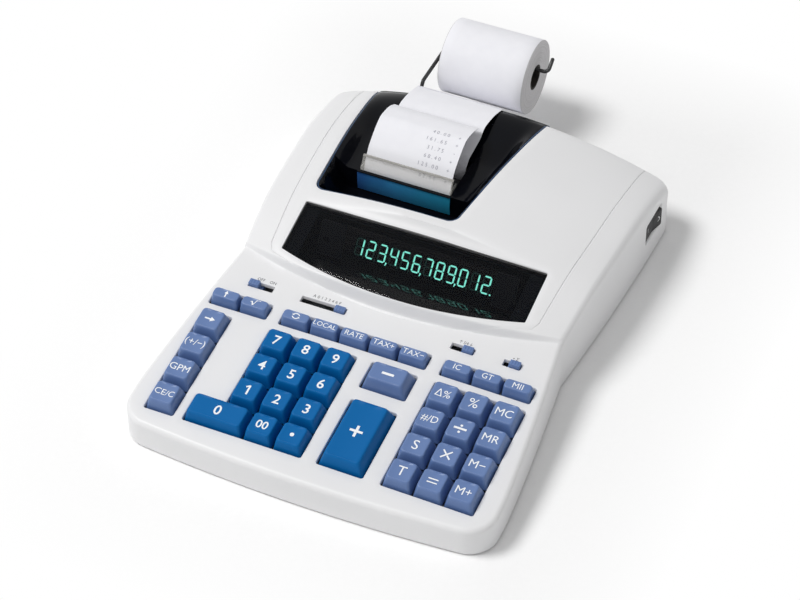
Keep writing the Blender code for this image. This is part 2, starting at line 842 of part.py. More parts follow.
def build_top_housing(material):
    """Upper shell with its openings, the screw bosses and the wire socket."""
    outer = case_slab("top_housing", 0.0, 0.0, case_foot_gap, case_edge_radius, 30, 14)
    case = add_object("top_housing", outer, material)
    inner = case_slab("case_inside", case_wall, case_wall, -overrun,
                      case_edge_radius / 2, inside_steps, inside_columns)
    apply_tool(case, add_tool("case_inside", inner))
    cut_deck(case)
    window = outline_mesh("cut_window", window_outline(0.0), window_low(), window_high())
    apply_tool(case, add_tool("cut_window", window))
    opening = outline_mesh("cut_cover", cover_outline(0.0, overrun), cover_sill_height,
                           case_height + overrun)
    apply_tool(case, add_tool("cut_cover", opening))
    for index, (x, y) in enumerate(boss_places()):
        name = "screw_boss_%d" % (index + 1)
        top = height_at(x, y) - case_wall / 2
        split = pan_top + (top - pan_top) / 2
        boss = cylinder_mesh(name, boss_radius, split + clearance, top, (x, y), 12)
        apply_tool(case, add_tool(name, boss), "UNION")
    add_socket(case)
    wall_x = half_width(rocker_y)
    hole = (4 * rocker_depth, rocker_length + 4 * running_gap, rocker_height + 2 * clearance)
    apply_tool(case, add_tool("cut_rocker", box_mesh("cut_rocker", hole), None,
                              (wall_x, rocker_y, rocker_z)))
    gland = cylinder_mesh("cord_gland", gland_radius, -case_wall / 2, gland_length, steps=16)
    apply_tool(case, add_tool("cord_gland", gland, None, (gland_x, case_length, gland_z),
                              (math.radians(-90), 0.0, 0.0)), "UNION")
    return case


def add_socket(case):
    """Block inside the rear wall with the bore that takes the end of the roll's wire."""
    half = wire_radius + wire_socket_wall
    back = case_length - case_wall - clearance
    front = back - wire_socket_depth
    top = wire_socket_height + half
    low = cover_sill_height - 2 * half
    size = (2 * half, back - front, top - low)
    centre = (wire_left_x, (back + front) / 2, (top + low) / 2)
    apply_tool(case, add_tool("wire_socket", box_mesh("wire_socket", size), None, centre),
               "UNION")
    size = (2 * half, case_wall + 2 * clearance, cover_sill_height - case_wall - low)
    centre = (wire_left_x, case_length - case_wall, low + size[2] / 2)
    apply_tool(case, add_tool("socket_root", box_mesh("socket_root", size), None, centre),
               "UNION")
    bore = cylinder_mesh("cut_wire", wire_radius + clearance, -overrun, overrun, steps=12)
    apply_tool(case, add_tool("cut_wire", bore, None,
                              (wire_left_x, front + overrun + case_wall, wire_socket_height),
                              (math.radians(90), 0.0, 0.0)))


def window_low():
    return pan_top + board_thickness + display_thickness


def window_high():
    return case_height + overrun


def build_window(material):
    """Display lens: the case's surface, lowered by the recess, inside the opening."""
    outline = window_outline(clearance)
    lens = outline_mesh("display_window", outline, window_low(), window_high())
    item = add_object("display_window", lens, material)
    skin = surface_skin("window_skin", window_recess, window_thickness)
    apply_tool(item, add_tool("window_skin", skin), "INTERSECT")
    return item


def surface_skin(name, drop, thickness):
    """Sheet of the case's surface over the display, with a thickness downwards."""
    first = waist_station + 0.35 * lip_run
    last = window_back + cap_gap
    rows = 12
    columns = 14
    half = window_half_width + cap_gap
    shape = bmesh.new()
    top = []
    base = []
    for j in range(rows + 1):
        station = first + (last - first) * j / rows
        upper = []
        lower = []
        for i in range(columns + 1):
            x = half * (2 * i / columns - 1)
            u = x / half_width(station)
            y = station - bow(station) * (1 - u * u)
            z = hump_height(x, station) - drop
            upper.append(shape.verts.new((x, y, z)))
            lower.append(shape.verts.new((x, y, z - thickness)))
        top.append(upper)
        base.append(lower)
    close_grid(shape, top, base)
    return finish_mesh(shape, name, math.radians(35))


def hump_height(x, station):
    """Height of the display face, carried on below the lip."""
    u = min(abs(x) / half_width(station), 1.0)
    t = (station - waist_station) / (case_length - waist_station)
    centre = case_height * smooth_table(t, centre_station_shares, centre_height_shares)
    side = case_height * smooth_table(t, side_station_shares, side_height_shares)
    return centre - (centre - side) * u * u


def build_cover(material):
    """Printer cover: a tray with a well, a rear skirt and the paper opening."""
    low = cover_well_height - overrun
    outer = tray_slab("printer_cover", tray_height, 0.0, low)
    item = add_object("printer_cover", outer, material)
    under = tray_slab("cover_inside", tray_under, cover_thickness, low - overrun)
    apply_tool(item, add_tool("cover_inside", under))
    edge = outline_mesh("cover_edge", cover_outline(clearance, overrun), low - overrun,
                        case_height + overrun)
    apply_tool(item, add_tool("cover_edge", edge), "INTERSECT")
    skirt = cover_sill_height + clearance
    size = (2 * rear_half_width, overrun, skirt - low + overrun)
    centre = (0.0, case_length - cover_thickness + overrun / 2 - cap_gap,
              skirt - size[2] / 2)
    apply_tool(item, add_tool("trim_skirt", box_mesh("trim_skirt", size), None, centre))
    notch = 2 * (wire_radius + 2 * clearance)
    size = (notch, overrun, wire_socket_height + notch / 2 - skirt + overrun)
    centre = (wire_left_x, case_length, wire_socket_height + notch / 2 - size[2] / 2)
    apply_tool(item, add_tool("cut_notch", box_mesh("cut_notch", size), None, centre))
    front = tear_bar_front_y - running_gap
    back = paper_entry_y + 6 * cap_gap
    size = (tear_bar_length + 2 * clearance, back - front, case_height)
    centre = (print_centre_x, (front + back) / 2, box_top_height)
    apply_tool(item, add_tool("cut_paper", box_mesh("cut_paper", size), None, centre))
    return item


def build_tear_bar(material):
    """Clear strip that leans with the paper, and an arm at each end in the opening."""
    lower = tear_bar_low_y
    upper = lower + tear_bar_lean
    half = tear_bar_length / 2
    thick = 0.6 * tear_bar_thickness
    low = tear_bar_height
    high = tear_bar_height + tear_bar_rise
    profile = ((lower - thick, low), (lower + thick, low), (upper + thick, high),
               (upper - thick, high))
    rings = [[(x, y, z) for y, z in profile]
             for x in (print_centre_x - half, print_centre_x + half)]
    item = add_object("tear_bar", ring_mesh("tear_bar", rings), material)
    for name, side in (("tear_bar_left_arm", -1), ("tear_bar_right_arm", 1)):
        size = (tear_bar_thickness, tear_bar_arm, tear_bar_arm_height)
        centre = (print_centre_x + side * (half - tear_bar_thickness / 2),
                  lower - thick / 2 + tear_bar_arm / 2, box_top_height)
        apply_tool(item, add_tool(name, box_mesh(name, size), None, centre), "UNION")
    return item


# Paper

def tangent_on_roll(y, z):
    """Where the paper leaves the lower front of the roll on its way to a point."""
    dy = roll_axis_y - y
    dz = roll_height - z
    radius = roll_radius + running_gap
    distance = math.hypot(dy, dz)
    angle = math.atan2(dz, dy) - math.asin(radius / distance)
    run = math.sqrt(distance ** 2 - radius ** 2)
    return y + run * math.cos(angle), z + run * math.sin(angle)


def paper_path():
    """Side view of the paper: from the roll over the rear edge, round the platen, out."""
    edge = height_at(print_right_x, case_length - case_edge_radius) + web_gap
    start = tangent_on_roll(case_length, edge - case_edge_radius / 2)
    knots = [start, (case_length, edge - case_edge_radius / 2),
             (case_length - case_edge_radius, edge + web_gap)]
    reach = case_length - paper_entry_y
    rise = case_height - box_top_height
    knots += [(paper_entry_y + reach * place, box_top_height + rise * height)
              for place, height in zip(web_place_shares, web_height_shares)]
    knots += [(paper_entry_y, platen_height + platen_radius), (paper_entry_y, platen_height)]
    points = smooth_run(knots, 4)
    steps = 12
    for i in range(1, steps):
        angle = math.pi * i / steps
        points.append((platen_y + paper_wrap_radius * math.cos(angle),
                       platen_height - paper_wrap_radius * math.sin(angle)))
    out = [(paper_exit_y, platen_height),
           (paper_exit_y, (platen_height + tear_bar_height) / 2),
           (paper_exit_y + web_gap / 2, tear_bar_height),
           (paper_exit_y + tear_bar_lean, tear_bar_height + tear_bar_rise)]
    reach = case_length - paper_exit_y
    out += [(paper_exit_y + reach * place, box_top_height + rise * height)
            for place, height in zip(strip_place_shares, strip_height_shares)]
    return points + smooth_run(out, 4)


def smooth_run(knots, steps):
    """Points along a smooth curve through the knots."""
    points = []
    last = len(knots) - 1
    for k in range(last):
        a = knots[max(k - 1, 0)]
        b = knots[k]
        c = knots[k + 1]
        d = knots[min(k + 2, last)]
        for i in range(steps):
            t = i / steps
            points.append(tuple(0.5 * (2 * b[n] + (c[n] - a[n]) * t
                                       + (2 * a[n] - 5 * b[n] + 4 * c[n] - d[n]) * t ** 2
                                       + (3 * b[n] - a[n] - 3 * c[n] + d[n]) * t ** 3)
                                for n in range(2)))
    points.append(knots[-1])
    return points


def build_paper(material):
    """One strip of paper, as an open surface with a thickness."""
    points = paper_path()
    start_y = points[0][0]
    reached = False
    shape = bmesh.new()
    rows = []
    for y, z in points:
        reached = reached or y <= paper_entry_y
        share = 1.0 if reached else (start_y - y) / (start_y - paper_entry_y)
        centre = roll_centre_x + (print_centre_x - roll_centre_x) * share
        rows.append([shape.verts.new((centre + side * paper_width / 2, y, z))
                     for side in (-1, 1)])
    for a, b in zip(rows, rows[1:]):
        shape.faces.new((a[0], a[1], b[1], b[0]))
    item = add_object("paper_strip", finish_mesh(shape, "paper_strip"), material)
    sheet = item.modifiers.new("paper_thickness", "SOLIDIFY")
    sheet.thickness = paper_thickness
    sheet.offset = 0.0
    return item


def turned(name, profile, material, place, steps=round_steps):
    """Turned piece about the X axis from (x, radius) points, given left to right."""
    mesh = bpy.data.meshes.new(name)
    points = [(x, 0.0, radius) for x, radius in profile[::-1]]
    mesh.from_pydata(points, [(i, i + 1) for i in range(len(points) - 1)], [])
    item = add_object(name, mesh, material, root, place)
    step = item.modifiers.new("turn", "SCREW")
    step.axis = "X"
    step.steps = steps
    step.render_steps = steps
    step.use_merge_vertices = True
    step.merge_threshold = clearance / 10
    step.use_smooth_shade = True
    return item


def build_roll(material):
    half = paper_width / 2
    profile = ((-half, roll_bore_radius), (-half, roll_radius), (half, roll_radius),
               (half, roll_bore_radius), (-half, roll_bore_radius))
    shape = bmesh.new()
    loops = []
    for x, radius in profile[:-1]:
        loop = []
        for i in range(roll_steps):
            angle = 2 * math.pi * i / roll_steps
            loop.append(shape.verts.new((x, radius * math.cos(angle), radius * math.sin(angle))))
        loops.append(loop)
    for a, b in zip(loops, loops[1:] + loops[:1]):
        for i in range(roll_steps):
            j = (i + 1) % roll_steps
            shape.faces.new((a[i], a[j], b[j], b[i]))
    return add_object("paper_roll", finish_mesh(shape, "paper_roll"), material, root,
                      (roll_centre_x, roll_axis_y, roll_height))


def arc_points(corner, before, after, radius, steps=5):
    """Rounded corner of a wire between two straight runs."""
    corner = Vector(corner)
    a = (Vector(before) - corner).normalized()
    b = (Vector(after) - corner).normalized()
    half = a.angle(b) / 2
    reach = radius / math.tan(half)
    centre = corner + (a + b).normalized() * (radius / math.sin(half))
    start = corner + a * reach - centre
    end = corner + b * reach - centre
    turn = start.angle(end)
    points = []
    for i in range(steps + 1):
        t = i / steps
        points.append(centre + (start * math.sin((1 - t) * turn) + end * math.sin(t * turn))
                      / math.sin(turn))
    return points


def build_wire(material):
    """One-sided wire holder: socket end, arm, axle through the roll and bent tip."""
    y_in = case_length - wire_socket_depth
    entry = Vector((wire_left_x, y_in, wire_socket_height))
    step = Vector((wire_left_x, case_length + wire_radius, wire_socket_height))
    rise = Vector((wire_left_x, step.y + wire_step_y, wire_axis_height))
    left = Vector((wire_left_x, roll_axis_y, wire_axis_height))
    right = Vector((wire_right_x, roll_axis_y, wire_axis_height))
    tip = right + Vector((0.0, wire_tip_length * 0.8, wire_tip_length * 0.5))
    points = [entry]
    points += arc_points(step, entry, rise, wire_bend_radius, 3)
    points += arc_points(rise, step, left, wire_bend_radius, 3)
    points += arc_points(left, rise, right, wire_bend_radius)
    points += arc_points(right, left, tip, wire_bend_radius)
    points.append(tip)
    curve = bpy.data.curves.new("roll_holder_wire", "CURVE")
    curve.dimensions = "3D"
    curve.bevel_depth = wire_radius
    curve.bevel_resolution = 2
    curve.use_fill_caps = True
    spline = curve.splines.new("POLY")
    spline.points.add(len(points) - 1)
    for target, point in zip(spline.points, points):
        target.co = (*point, 1.0)
    curve.materials.append(material)
    item = bpy.data.objects.new("roll_holder_wire", curve)
    parts.objects.link(item)
    item.parent = root
    return item


# Inner pieces

def keyboard_outline(margin, front, back):
    """Plate outline that follows the inside of the case under the keys."""
    side = []
    steps = 8
    for i in range(steps + 1):
        y = front + (back - front) * i / steps
        cut = corner_cut(y - front_bow, front_corner_radius)
        side.append((half_width(y) - case_wall - margin - cut, y))
    return side + [(-x, y) for x, y in side[::-1]]


def post_places():
    """Posts between the key groups: x, distance from the front edge."""
    left_gap = (left_column_x + number_block_x) / 2
    right_gap = (operator_x + operator_width / 2 + right_block_x - cap_width / 2) / 2
    middle_gap = (column_x(number_block_x, 2) + cap_width / 2
                  + operator_x - operator_width / 2) / 2
    return ((left_gap, row_y(2)), (middle_gap, row_y(0.5)), (middle_gap, row_y(2.5)),
            (right_gap, row_y(0)), (right_gap, row_y(2)))


def build_plate(material):
    """Guide plate: a square hole for each key stem."""
    front = front_bow + case_wall + 2 * cap_gap
    back = waist_station - hump_bow - cap_gap
    outline = keyboard_outline(cap_gap, front, back)
    mesh = outline_mesh("key_guide_plate", outline, -plate_under_drop, -plate_top_drop)
    item = add_object("key_guide_plate", mesh, material, keyboard)
    centres = [(x, y) for _, x, y, _ in standard_keys()]
    centres += [(x, y) for _, x, y in function_keys()]
    centres += [(zero_x, row_y(0)), (operator_x, row_y(3)), (operator_x, plus_y)]
    shape = bmesh.new()
    hole = stem_width + 2 * clearance
    for x, y in centres:
        place = Matrix.Translation((x, y, -plate_under_drop))
        size = Matrix.Diagonal((hole, hole, case_wall * 2, 1.0))
        bmesh.ops.create_cube(shape, size=1.0, matrix=place @ size)
    tool = add_tool("cut_guides", finish_mesh(shape, "cut_guides"), keyboard)
    apply_tool(item, tool)
    return item


def build_board(material):
    """Circuit board under the stems, with chips below and holes for the posts."""
    front = row_y(0) - cap_depth / 2
    back = function_row_y + function_cap_depth / 2
    outline = keyboard_outline(board_margin, front, back)
    mesh = outline_mesh("main_board", outline, -board_under_drop, -board_top_drop)
    item = add_object("main_board", mesh, material, keyboard)
    for index, (x, y) in enumerate(post_places()):
        name = "cut_post_%d" % (index + 1)
        hole = cylinder_mesh(name, post_tip_radius + running_gap,
                             -board_under_drop - board_margin, -board_top_drop + board_margin,
                             (x, y), 12)
        apply_tool(item, add_tool(name, hole, keyboard))
    for index, column in enumerate((0, 1, 2)):
        name = "chip_%d" % (index + 1)
        size = (chip_size, chip_size, 2 * chip_height)
        centre = (column_x(right_block_x, column) - key_pitch_x / 2, row_y(2.5),
                  -board_under_drop)
        apply_tool(item, add_tool(name, box_mesh(name, size), keyboard, centre), "UNION")
    return item


def plane_point(x, distance, drop):
    """World point (before the origin shift) of a place in the keyboard plane."""
    cosine = math.cos(key_plane_angle)
    sine = math.sin(key_plane_angle)
    return (x, distance * cosine + drop * sine,
            key_top_front_height + distance * sine - drop * cosine)


def build_bottom_housing(material):
    """Floor pan inside the case walls, with feet, posts and screw bosses."""
    outline = case_outline(case_wall + clearance)
    mesh = outline_mesh("bottom_housing", outline, pan_bottom, pan_top)
    item = add_object("bottom_housing", mesh, material)
    for index, (x, y) in enumerate(foot_places()):
        name = "foot_%d" % (index + 1)
        foot = cylinder_mesh(name, foot_radius, 0.0, pan_bottom + pan_thickness / 2, (x, y))
        apply_tool(item, add_tool(name, foot), "UNION")
    for index, (x, y) in enumerate(boss_places()):
        name = "pan_boss_%d" % (index + 1)
        top = height_at(x, y) - case_wall / 2
        split = pan_top + (top - pan_top) / 2
        boss = cylinder_mesh(name, boss_radius, pan_bottom + pan_thickness / 2, split,
                             (x, y), 12)
        apply_tool(item, add_tool(name, boss), "UNION")
    for index, (x, y) in enumerate(post_places()):
        board = plane_point(x, y, board_under_drop)
        plate = plane_point(x, y, plate_under_drop)
        shoulder = board[2] - clearance - post_radius * plane_slope
        tip = plate[2] - clearance - post_tip_radius * plane_slope
        low = pan_bottom + pan_thickness / 2
        centre_y = (board[1] + plate[1]) / 2
        name = "post_%d" % (index + 1)
        post = cylinder_mesh(name, post_radius, low, shoulder, (x, centre_y), 12)
        apply_tool(item, add_tool(name, post), "UNION")
        name = "post_tip_%d" % (index + 1)
        tip_post = cylinder_mesh(name, post_tip_radius, low, tip, (x, centre_y), 12)
        apply_tool(item, add_tool(name, tip_post), "UNION")
    for name, side in (("display_rest_left", -1), ("display_rest_right", 1)):
        x = side * display_length / 3
        y, z = display_centre()
        under = z - display_thickness / 2 / math.cos(display_angle) - clearance
        reach = display_depth / 4
        size = (2 * post_radius, 2 * reach, under - reach * math.tan(display_angle) - pan_top
                + pan_thickness / 2)
        centre = (x, y, pan_top - pan_thickness / 2 + size[2] / 2)
        apply_tool(item, add_tool(name, box_mesh(name, size), None, centre), "UNION")
    return item


def display_centre():
    """Middle of the display tube: leans back, its top corners close under the lens."""
    y = (window_front - window_bow + window_back) / 2 + display_back_shift
    top_y = y + display_depth / 2 * math.cos(display_angle)
    end_x = display_length / 2
    lens = hump_height(end_x, station_at(end_x, top_y)) - window_recess - window_thickness
    rise = display_depth / 2 * math.sin(display_angle)
    return y, lens - display_lens_gap - rise - display_thickness / 2 * math.cos(display_angle)


def build_display(material):
    """Flat glass tube with its end blocks, turned up towards the reader."""
    y, z = display_centre()
    size = (display_length, display_depth, display_thickness)
    item = add_object("display_module", box_mesh("display_module", size), material, root,
                      (0.0, y, z))
    item.rotation_euler = (display_angle, 0.0, 0.0)
    bevel = item.modifiers.new("edge", "BEVEL")
    bevel.width = display_thickness / 8
    bevel.segments = 1
    return item


def frame_profile():
    """Side plate: low in front under the cover's well, tall behind the paper box."""
    low = pan_top + clearance
    front = drum_y - drum_radius - frame_margin
    step = box_face_y + cover_thickness + box_face_run + 2 * clearance
    back = paper_entry_y + frame_margin + 2 * cap_gap
    well = cover_well_height - cover_thickness - running_gap
    top = box_top_height - cover_thickness - running_gap
    return ((front, low), (back, low), (back, top), (step, top), (step, well), (front, well))


def build_printer_frame(material):
    """Two side plates on a base; the shafts run in their holes."""
    profile = frame_profile()
    front, low = profile[0]
    back = profile[1][0]
    size = (frame_right_x - frame_left_x, back - front, frame_plate)
    centre = ((frame_left_x + frame_right_x) / 2, (front + back) / 2, low + frame_plate / 2)
    item = add_object("printer_frame", box_mesh("printer_frame", size, centre), material)
    for name, x in (("frame_left_plate", frame_left_x),
                    ("frame_right_plate", frame_right_x - frame_plate)):
        rings = [[(px, y, z) for y, z in profile] for px in (x, x + frame_plate)]
        apply_tool(item, add_tool(name, ring_mesh(name, rings)), "UNION")
    for name, y, z in (("cut_platen_shaft", platen_y, platen_height),
                       ("cut_drum_shaft", drum_y, drum_height)):
        bore = cylinder_mesh(name, shaft_radius + clearance, -paper_width, paper_width)
        apply_tool(item, add_tool(name, bore, None, (print_centre_x, y, z),
                                  (0.0, math.radians(90), 0.0)))
    return item


def roller_profile(body_left, body_right, radius):
    """Roller body between the side plates, with a shaft end through each plate."""
    reach = frame_plate + 2 * running_gap
    left = frame_left_x - reach / 2
    right = frame_right_x + reach / 2
    return ((left, 0.0), (left, shaft_radius), (body_left, shaft_radius),
            (body_left, radius), (body_right, radius), (body_right, shaft_radius),
            (right, shaft_radius), (right, 0.0))


def build_rollers(rubber, metal):
    left = print_left_x - platen_margin
    right = print_right_x + platen_margin
    turned("platen_roller", roller_profile(left, right, platen_radius), rubber,
           (0.0, platen_y, platen_height))
    turned("print_drum", roller_profile(left, right, drum_radius), metal,
           (0.0, drum_y, drum_height))


def build_transformer(material):
    """Laminated core with its winding, on the floor at the right rear."""
    low = pan_top + clearance
    size = (transformer_length, transformer_depth - 2 * transformer_coil,
            transformer_height)
    centre = (0.0, 0.0, transformer_height / 2)
    item = add_object("transformer", box_mesh("transformer", size, centre), material, root,
                      (transformer_x, transformer_y, low))
    coil_size = (transformer_length * 0.6, transformer_depth, transformer_height * 0.6)
    apply_tool(item, add_tool("transformer_coil", box_mesh("transformer_coil", coil_size),
                              None, (transformer_x, transformer_y,
                                     low + transformer_height / 2)), "UNION")
    return item


def build_rocker(material):
    """Power rocker: two faces that meet in a shallow valley, tipped to one side."""
    half = rocker_length / 2
    back = -rocker_depth
    valley = math.tan(rocker_swing / 2) * half
    top = rocker_stand_out + valley
    outline = ((back, -half), (top, -half), (top - valley, 0.0), (top, half), (back, half))
    rings = [[(x, y, z) for x, y in outline] for z in (-rocker_height / 2, rocker_height / 2)]
    item = add_object("power_rocker", ring_mesh("power_rocker", rings), material, root,
                      (half_width(rocker_y) - rocker_depth / 4, rocker_y, rocker_z))
    item.rotation_euler = (0.0, 0.0, -rocker_swing / 2)
    return item


def build_switches(material):
    """Slide knobs: block in the slot, wider foot between the deck and the plate."""
    names = ("print_mode_switch", "decimal_switch", "rounding_switch", "total_switch")
    top = -key_stand_out + knob_stand_out
    shoulder = -deck_under - clearance
    foot = -plate_top_drop + clearance
    for name, (start, length, knob, _) in zip(names, slots()):
        rings = []
        for height, margin in ((foot, knob_foot_margin), (shoulder, knob_foot_margin),
                               (shoulder, 0.0), (top, 0.0)):
            x = knob_length / 2 + margin
            y = knob_width / 2 + margin
            rings.append([(x, -y, height), (x, y, height), (-x, y, height), (-x, -y, height)])
        add_object(name, ring_mesh(name, rings), material, keyboard,
                   (knob, switch_row_y, 0.0))


def main():
    materials = {
        "shell": make_material("off_white_abs", "E0DFDD", 0.45),
        "pan": make_material("grey_abs", "B8B6B0", 0.5),
        "key_blue": make_material("bright_blue_abs", "0A6AAE", 0.35),
        "key_slate": make_material("slate_blue_abs", "5F78AA", 0.4),
        "lens": make_material("dark_display_lens", "0B1018", 0.08),
        "glass": make_material("display_glass", "0C2024", 0.1),
        "smoked": make_material("smoked_cover", "0C1018", 0.12),
        "clear": make_material("clear_tear_bar", "D8DCD8", 0.1),
        "paper": make_material("paper", "F2F2F0", 0.85),
        "wire": make_material("black_wire", "101010", 0.3, 0.6),
        "steel": make_material("zinc_steel", "9A9CA0", 0.35, 1.0),
        "rubber": make_material("platen_rubber", "1A1A1A", 0.8),
        "board": make_material("green_board", "1E5A38", 0.5),
        "black": make_material("black_abs", "121214", 0.4),
        "core": make_material("transformer_core", "4A4640", 0.5, 0.7),
    }
    build_top_housing(materials["shell"])
    build_bottom_housing(materials["pan"])
    build_keys(materials)
    build_switches(materials["key_slate"])
    build_rocker(materials["black"])
    build_window(materials["lens"])
    build_display(materials["glass"])
    build_cover(materials["smoked"])
    build_tear_bar(materials["clear"])
    build_paper(materials["paper"])
    build_roll(materials["paper"])
    build_wire(materials["wire"])
    build_plate(materials["steel"])
    build_board(materials["board"])
    build_printer_frame(materials["steel"])
    build_rollers(materials["rubber"], materials["steel"])
    build_transformer(materials["core"])


main()
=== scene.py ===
"""Desktop printing calculator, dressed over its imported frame.

Every new piece is worked out from the sizes below. Lengths are in metres. Places are
given from the front edge of the case; to_world moves them onto the frame's origin.
"""

import math

import bpy
import numpy as np
from mathutils import Matrix, Vector, geometry


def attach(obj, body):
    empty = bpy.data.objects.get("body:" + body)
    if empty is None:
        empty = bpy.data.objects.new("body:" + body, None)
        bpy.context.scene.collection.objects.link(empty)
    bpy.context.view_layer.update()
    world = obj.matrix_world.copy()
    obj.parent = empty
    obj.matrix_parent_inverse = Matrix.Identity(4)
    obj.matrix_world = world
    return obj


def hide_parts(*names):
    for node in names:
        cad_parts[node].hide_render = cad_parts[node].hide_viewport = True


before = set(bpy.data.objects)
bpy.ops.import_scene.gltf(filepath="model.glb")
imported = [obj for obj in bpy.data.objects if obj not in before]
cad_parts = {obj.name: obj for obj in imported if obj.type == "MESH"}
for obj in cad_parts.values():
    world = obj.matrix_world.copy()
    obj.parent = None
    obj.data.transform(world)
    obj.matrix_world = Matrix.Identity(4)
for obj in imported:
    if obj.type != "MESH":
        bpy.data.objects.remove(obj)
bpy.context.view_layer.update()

bl_info = {
    "name": "Printing calculator",
    "version": (1, 0, 0),
    "blender": (4, 5, 0),
    "location": "View3D > Sidebar > Calculator",
    "description": "Builds the visible pieces and finishes of a desktop printing calculator",
    "category": "Object",
}

# Case
CASE_LENGTH = 0.3086
CASE_HEIGHT = 0.0605
CASE_WALL = 0.0025
FRONT_HALF_WIDTH = 0.1165
WAIST_HALF_WIDTH = 0.1040
REAR_HALF_WIDTH = 0.1135
WIDEST_STATION = 0.0306
WAIST_STATION = 0.1465
FRONT_CORNER = 0.016
REAR_CORNER = 0.012
FRONT_BOW = 0.006
HUMP_BOW = 0.0160
LIP_RUN = 0.0028
DECK_CROWN = 0.001
CASE_FOOT = 0.001
FRONT_EDGE_RADIUS = 0.0030
REAR_EDGE_RADIUS = 0.0055
CENTRE_TABLE = ((0.02, 0.235, 0.457, 0.704, 0.963, 1.0),
                (0.735, 0.942, 1.0, 1.0, 0.930, 0.845))
SIDE_TABLE = ((0.02, 0.235, 0.457, 0.642, 0.796, 0.914, 1.0),
              (0.641, 0.772, 0.797, 0.802, 0.740, 0.655, 0.525))
HALF_LENGTH = 0.190725

# Keyboard plane
KEY_TOP = 0.0257
PLANE_ANGLE = math.radians(6.87)
PITCH_X = 0.0190
PITCH_Y = 0.0195
STAND_OUT = 0.0055
CAP_GAP = 0.0012
CAP_WIDTH = PITCH_X - CAP_GAP
CAP_DEPTH = PITCH_Y - CAP_GAP
CAP_TOP_WIDTH = 0.0140
CAP_TOP_DEPTH = 0.0136
CAP_HEIGHT = 0.0090
STEM_DROP = 0.0154
FRONT_ROW = 0.0253
FUNCTION_ROW = 0.1050
SWITCH_ROW = 0.1216
LEFT_COLUMN = -0.0947
NUMBER_COLUMN = -0.0508
OPERATOR_X = 0.0209
RIGHT_COLUMN = 0.0557
MIDDLE_GROUP = -0.0485
RIGHT_GROUP = 0.0553
OPERATOR_WIDTH = 0.0280
OPERATOR_RISE = 0.0015
PLUS_EXTRA_ROWS = 1.5
BAR_DEPTH = 0.0104
OPENING_GAP = 0.0007
OPENING_CORNER = 0.0014
SLOT_X = (-0.0880, -0.0533, 0.0441, 0.0771)
SLOT_LENGTH = (0.0164, 0.0294, 0.0146, 0.0112)
SLOT_SHARE = (0.0, 1.0, 1.0, 1.0)
SLOT_HALF_WIDTH = 0.00235
SLOT_CORNER = 0.0006
SLOT_GAP = 0.0005
KNOB_LENGTH = 0.0066

# Rounding of the openings' edges
KEY_EDGE = 0.0007
SLOT_EDGE = 0.0003
WINDOW_EDGE = 0.0004
COVER_EDGE = 0.0006

# Display and printer
WINDOW_FRONT = 0.1486
WINDOW_BACK = 0.1842
WINDOW_HALF = 0.0793
WINDOW_BOW = 0.0150
COVER_FRONT = 0.1947
PRINT_RIGHT = -0.0045
PRINT_CENTRE = -0.0335
PLATEN_Y = 0.242538
PLATEN_Z = 0.0325
WRAP_RADIUS = 0.0118
BOX_FACE_Y = PLATEN_Y - WRAP_RADIUS - 0.0053
BOX_TOP = 0.0470
ROLL_X = -0.0285
ROLL_Y = 0.3567
ROLL_Z = 0.0438
ROLL_RADIUS = 0.02475
ROLL_BORE = 0.0085
ROCKER_Y = 0.2756
ROCKER_Z = 0.0250
COVER_LEFT = (-0.080, -0.0868)
COVER_RIGHT = (0.0145, 0.0305)
COVER_CORNER = 0.0075
COVER_GAP = 0.0003
COVER_THICKNESS = 0.0016
COVER_REAR_ROUND = 0.0030
TRAY_FLOOR = 0.0320
EXIT_FRONT = 0.2271
EXIT_BACK = 0.2615
BOX_HALF_WIDTH = 0.0312
BAR_HALF_WIDTH = 0.0304
BAR_Y = 0.228638
BAR_FOOT = 0.0462
PAPER_HALF_WIDTH = 0.0290
WIRE_X = -0.0611
WIRE_RADIUS = 0.00125
GLAND_X = 0.0850
GLAND_Z = 0.0170

# Lamps as name, place, size and share of the lamp power, and the solved camera
LAMPS = (("key_lamp", (-1.5, -0.7, 2.9), 1.3, 1.0),
         ("front_lamp", (-0.5, -2.0, 1.4), 1.4, 0.05))
CAMERA_LENS = 119.93
CAMERA_PLACE = (0.478294, -1.071895, 1.144535)
CAMERA_AXES = ((0.91091345, -0.28202649, 0.30116066),
               (0.41245799, 0.64141267, -0.64689117),
               (-0.01072782, 0.71347799, 0.70059551))
FLOOR_FADE = (0.008, 0.095)

# Two triangles that fill four points in order
QUAD = np.array([(0, 1, 2), (0, 2, 3)])


# Shapes worked out with whole arrays

def to_world(points):
    """Points measured from the front edge, moved onto the frame's origin."""
    moved = np.array(points, dtype=float)
    moved[..., 1] -= HALF_LENGTH
    return moved


def on_plane(points):
    """Keyboard-plane points (across, along, out) turned up by the plane's angle."""
    across, along, out = np.moveaxis(np.asarray(points, dtype=float), -1, 0)
    sine, cosine = math.sin(PLANE_ANGLE), math.cos(PLANE_ANGLE)
    return to_world(np.stack((across, along * cosine - out * sine,
                              KEY_TOP + along * sine + out * cosine), -1))


def ease(value):
    """Smooth step: 3 t^2 - 2 t^3 between 0 and 1."""
    t = np.clip(value, 0.0, 1.0)
    return t * t * (3 - 2 * t)


